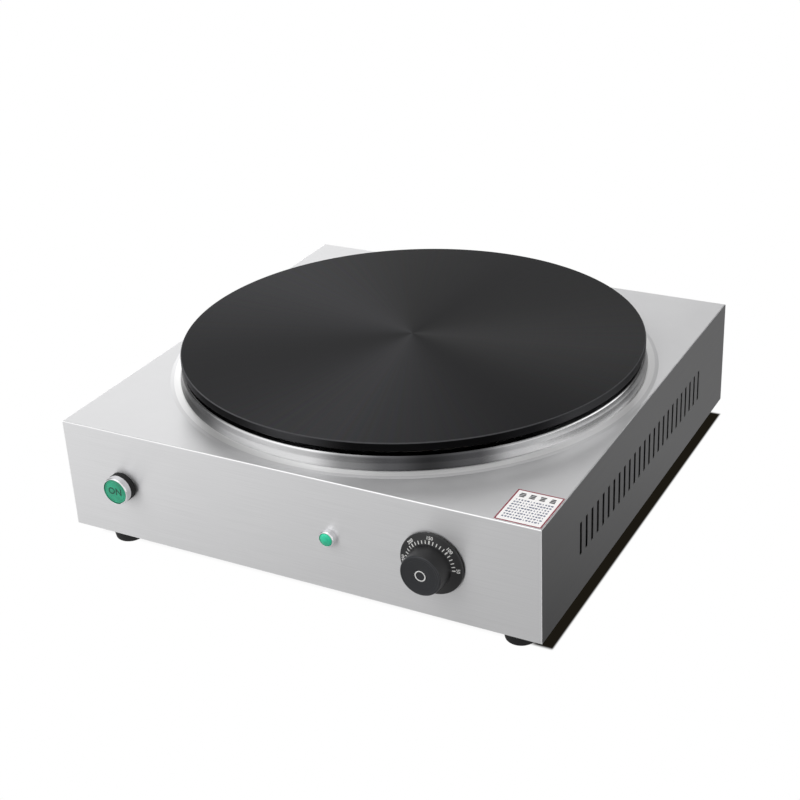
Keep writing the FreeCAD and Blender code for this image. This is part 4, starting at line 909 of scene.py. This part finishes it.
studio = {
    "floorSize": 6.0,
    "floorPaper": "#D8D8D8",
    # The shadow under the casing: where its edges fade, how dark it is away from the right side, and its core
    "floorShadow": {"dark": "#1C1913", "sideEdge": (0.2100, 0.2122), "middleY": 0.018, "frontEdge": (0.206, 0.210),
                    "right": (0.188, 0.198), "elsewhere": 0.06, "core": (0.13, 0.165)},
    # What polished metal sees of the floor: place from left to right in metres, brightness
    "floorTones": [(-0.8, "#FFFFFF"), (-0.34, "#F8F8F8"), (-0.24, "#EAEAEA"), (-0.1, "#D6D6D6"), (0.0, "#C9C9C9"),
                   (0.13, "#BBBBBB"), (0.21, "#BBBBBB"), (0.25, "#FFFFFF"), (0.8, "#FFFFFF")],
    # A grey card lies on the floor to the right, for the shaded side
    "card": {"tones": [(-0.22, "#454545"), (-0.05, "#5E5E5E"), (0.15, "#727272")], "left": (0.211, 0.216),
             "front": (-0.235, -0.215)},
    "worldPlain": 0.4,
    "worldBase": 0.12,
    # Glows that polished metal mirrors: direction, cosines at which each starts and is full, strength
    "worldGlows": [
        ((-0.55, 0.76, 0.34), 0.90, 1.0, 0.45),
        ((-0.75, -0.66, 0.05), 0.70, 1.0, 0.9),
        ((1.0, -0.05, 0.12), 0.88, 1.0, 0.8),
        ((0.70, 0.56, 0.44), 0.91, 0.985, 1.2),
        ((-0.43, -0.45, 0.78), 0.80, 0.95, 0.7),
        ((-0.1, 0.1, 1.0), 0.75, 1.0, 0.8),
        ((0.35, -0.8, 0.35), 0.1, 0.95, 0.9),
        ((-0.30, 0.76, 0.57), 0.955, 1.0, -0.4),
    ],
    # The pale backdrop: as a glow, and the heights between which it fades out
    "backdrop": {"glow": ((-0.62, 0.79, 0.0), 0.69, 0.9, 1.45), "fade": (0.85, 0.42)},
    # Lamps: name, place, point aimed at, side in metres, watts
    "lamps": [
        ("keyLeft", (-1.3, -0.9, 1.7), (0, 0, 0.1), 1.2, 26),
        ("topSoft", (-0.2, 0.3, 2.0), (0, 0, 0.1), 1.6, 16),
    ],
}


def glow(tree, direction, axis, start, full, strength):
    # Light from round one direction, for the world
    toward = addNode(tree, "ShaderNodeVectorMath", {"operation": "DOT_PRODUCT"}, in0=direction,
                     in1=Vector(axis).normalized())
    return addNode(tree, "ShaderNodeMapRange", {"interpolation_type": "SMOOTHSTEP"}, Value=toward.outputs["Value"],
                   From_Min=start, From_Max=full, To_Min=0.0, To_Max=strength)


def floorSeen(tree, place):
    # White to the camera, with a shadow under the casing: a sharp strip along its right side, a faint rest
    # and a dark core that shows only through the slots
    shadow = studio["floorShadow"]
    under = core = 1.0
    for axis, middle, edge in (("X", 0.0, "sideEdge"), ("Y", shadow["middleY"], "frontEdge")):
        offset = addNode(tree, "ShaderNodeMath", {"operation": "SUBTRACT"}, in0=place[axis], in1=middle)
        aside = addNode(tree, "ShaderNodeMath", {"operation": "ABSOLUTE"}, in0=offset)
        wide, deep = (addNode(tree, "ShaderNodeMapRange", {"interpolation_type": "SMOOTHSTEP"}, Value=aside,
                              From_Min=inner, From_Max=outer, To_Min=1.0, To_Max=0.0)
                      for inner, outer in (shadow[edge], shadow["core"]))
        under = addNode(tree, "ShaderNodeMath", {"operation": "MULTIPLY"}, in0=under, in1=wide)
        core = addNode(tree, "ShaderNodeMath", {"operation": "MULTIPLY"}, in0=core, in1=deep)
    onRight = addNode(tree, "ShaderNodeMapRange", {"interpolation_type": "SMOOTHSTEP"}, Value=place["X"],
                      From_Min=shadow["right"][0], From_Max=shadow["right"][1], To_Min=shadow["elsewhere"],
                      To_Max=1.0)
    strip = addNode(tree, "ShaderNodeMath", {"operation": "MULTIPLY"}, in0=under, in1=onRight)
    darkness = addNode(tree, "ShaderNodeMath", {"operation": "MAXIMUM"}, in0=core, in1=strip)
    tone = addNode(tree, "ShaderNodeMix", {"data_type": "RGBA"}, Factor=darkness, in6=toLinear("#FFFFFF"),
                   in7=toLinear(shadow["dark"]))
    return addNode(tree, "ShaderNodeEmission", Color=tone.outputs[2], Strength=1.0)


def floorMirrored(tree, place):
    # What polished metal sees: the paper's tones from left to right, and the grey card
    card = studio["card"]
    spans = [addNode(tree, "ShaderNodeMapRange", Value=place[axis], From_Min=-1.0, From_Max=1.0) for axis in "XY"]
    paper, grey = (
        addNode(tree, "ShaderNodeValToRGB", {"ramp": ("LINEAR", [((at + 1) / 2, tone) for at, tone in tones])},
                Fac=span)
        for span, tones in zip(spans, (studio["floorTones"], card["tones"])))
    edges = [addNode(tree, "ShaderNodeMapRange", Value=place[axis], From_Min=limits[0], From_Max=limits[1])
             for axis, limits in (("X", card["left"]), ("Y", card["front"]))]
    onCard = addNode(tree, "ShaderNodeMath", {"operation": "MULTIPLY"}, in0=edges[0], in1=edges[1])
    tone = addNode(tree, "ShaderNodeMix", {"data_type": "RGBA"}, Factor=onCard, in6=paper, in7=grey)
    return addNode(tree, "ShaderNodeEmission", Color=tone.outputs[2], Strength=1.0)


def makeFloor():
    work = bmesh.new()
    bmesh.ops.create_grid(work, x_segments=1, y_segments=1, size=studio["floorSize"])
    mesh = bpy.data.meshes.new("floor")
    work.to_mesh(mesh)
    work.free()
    floor = bpy.data.objects.new("floor", mesh)
    scene.collection.objects.link(floor)
    material = bpy.data.materials.new("whiteSweep")
    material.use_nodes = True
    tree = material.node_tree
    tree.nodes.clear()
    rays = addNode(tree, "ShaderNodeLightPath").outputs
    place = addNode(tree, "ShaderNodeSeparateXYZ", Vector=objectCoords(tree)).outputs
    paper = addNode(tree, "ShaderNodeBsdfDiffuse", Color=toLinear(studio["floorPaper"]))
    mirroring = addNode(tree, "ShaderNodeMath", {"operation": "MAXIMUM"}, in0=rays["Is Glossy Ray"],
                        in1=rays["Is Transmission Ray"])
    mixed = addNode(tree, "ShaderNodeMixShader", in0=mirroring, in1=paper, in2=floorMirrored(tree, place))
    seen = addNode(tree, "ShaderNodeMixShader", in0=rays["Is Camera Ray"], in1=mixed, in2=floorSeen(tree, place))
    # from below the floor isn't seen, so that the underside shows
    behind = addNode(tree, "ShaderNodeNewGeometry").outputs["Backfacing"]
    sided = addNode(tree, "ShaderNodeMixShader", in0=behind, in1=seen,
                    in2=addNode(tree, "ShaderNodeBsdfTransparent"))
    addNode(tree, "ShaderNodeOutputMaterial", Surface=sided)
    mesh.materials.append(material)


def makeWorld():
    # White to the camera, glows for polished metal, and plain light for all else
    world = bpy.data.worlds.new("studioWorld")
    scene.world = world
    world.use_nodes = True
    tree = world.node_tree
    tree.nodes.clear()
    rays = addNode(tree, "ShaderNodeLightPath").outputs
    direction = addNode(tree, "ShaderNodeTexCoord").outputs["Generated"]
    total = studio["worldBase"]
    for light in studio["worldGlows"]:
        total = addNode(tree, "ShaderNodeMath", {"operation": "ADD"}, in0=total, in1=glow(tree, direction, *light))
    height = addNode(tree, "ShaderNodeSeparateXYZ", Vector=direction).outputs["Z"]
    fadeFrom, fadeTo = studio["backdrop"]["fade"]
    low = addNode(tree, "ShaderNodeMapRange", {"interpolation_type": "SMOOTHSTEP"}, Value=height,
                  From_Min=fadeFrom, From_Max=fadeTo, To_Min=0.0, To_Max=1.0)
    behind = addNode(tree, "ShaderNodeMath", {"operation": "MULTIPLY"}, in1=low,
                     in0=glow(tree, direction, *studio["backdrop"]["glow"]))
    total = addNode(tree, "ShaderNodeMath", {"operation": "ADD"}, in0=total, in1=behind)
    plain, mirrored, white = (addNode(tree, "ShaderNodeBackground", Color=(1, 1, 1, 1), Strength=strength)
                              for strength in (studio["worldPlain"], total, 1.0))
    mirroring = addNode(tree, "ShaderNodeMath", {"operation": "MAXIMUM"}, in0=rays["Is Glossy Ray"],
                        in1=rays["Is Transmission Ray"])
    lit = addNode(tree, "ShaderNodeMixShader", in0=mirroring, in1=plain, in2=mirrored)
    mixed = addNode(tree, "ShaderNodeMixShader", in0=rays["Is Camera Ray"], in1=lit, in2=white)
    addNode(tree, "ShaderNodeOutputWorld", Surface=mixed)


def makeLamps():
    for name, place, target, size, watts in studio["lamps"]:
        data = bpy.data.lights.new(name, "AREA")
        data.energy = watts
        data.size = size
        lamp = bpy.data.objects.new(name, data)
        lamp.visible_glossy = False
        lamp.location = place
        lamp.rotation_euler = (Vector(target) - Vector(place)).to_track_quat("-Z", "Y").to_euler()
        scene.collection.objects.link(lamp)


makeFloor()
makeWorld()
makeLamps()
scene.view_settings.view_transform = "Standard"
print("studio lit")
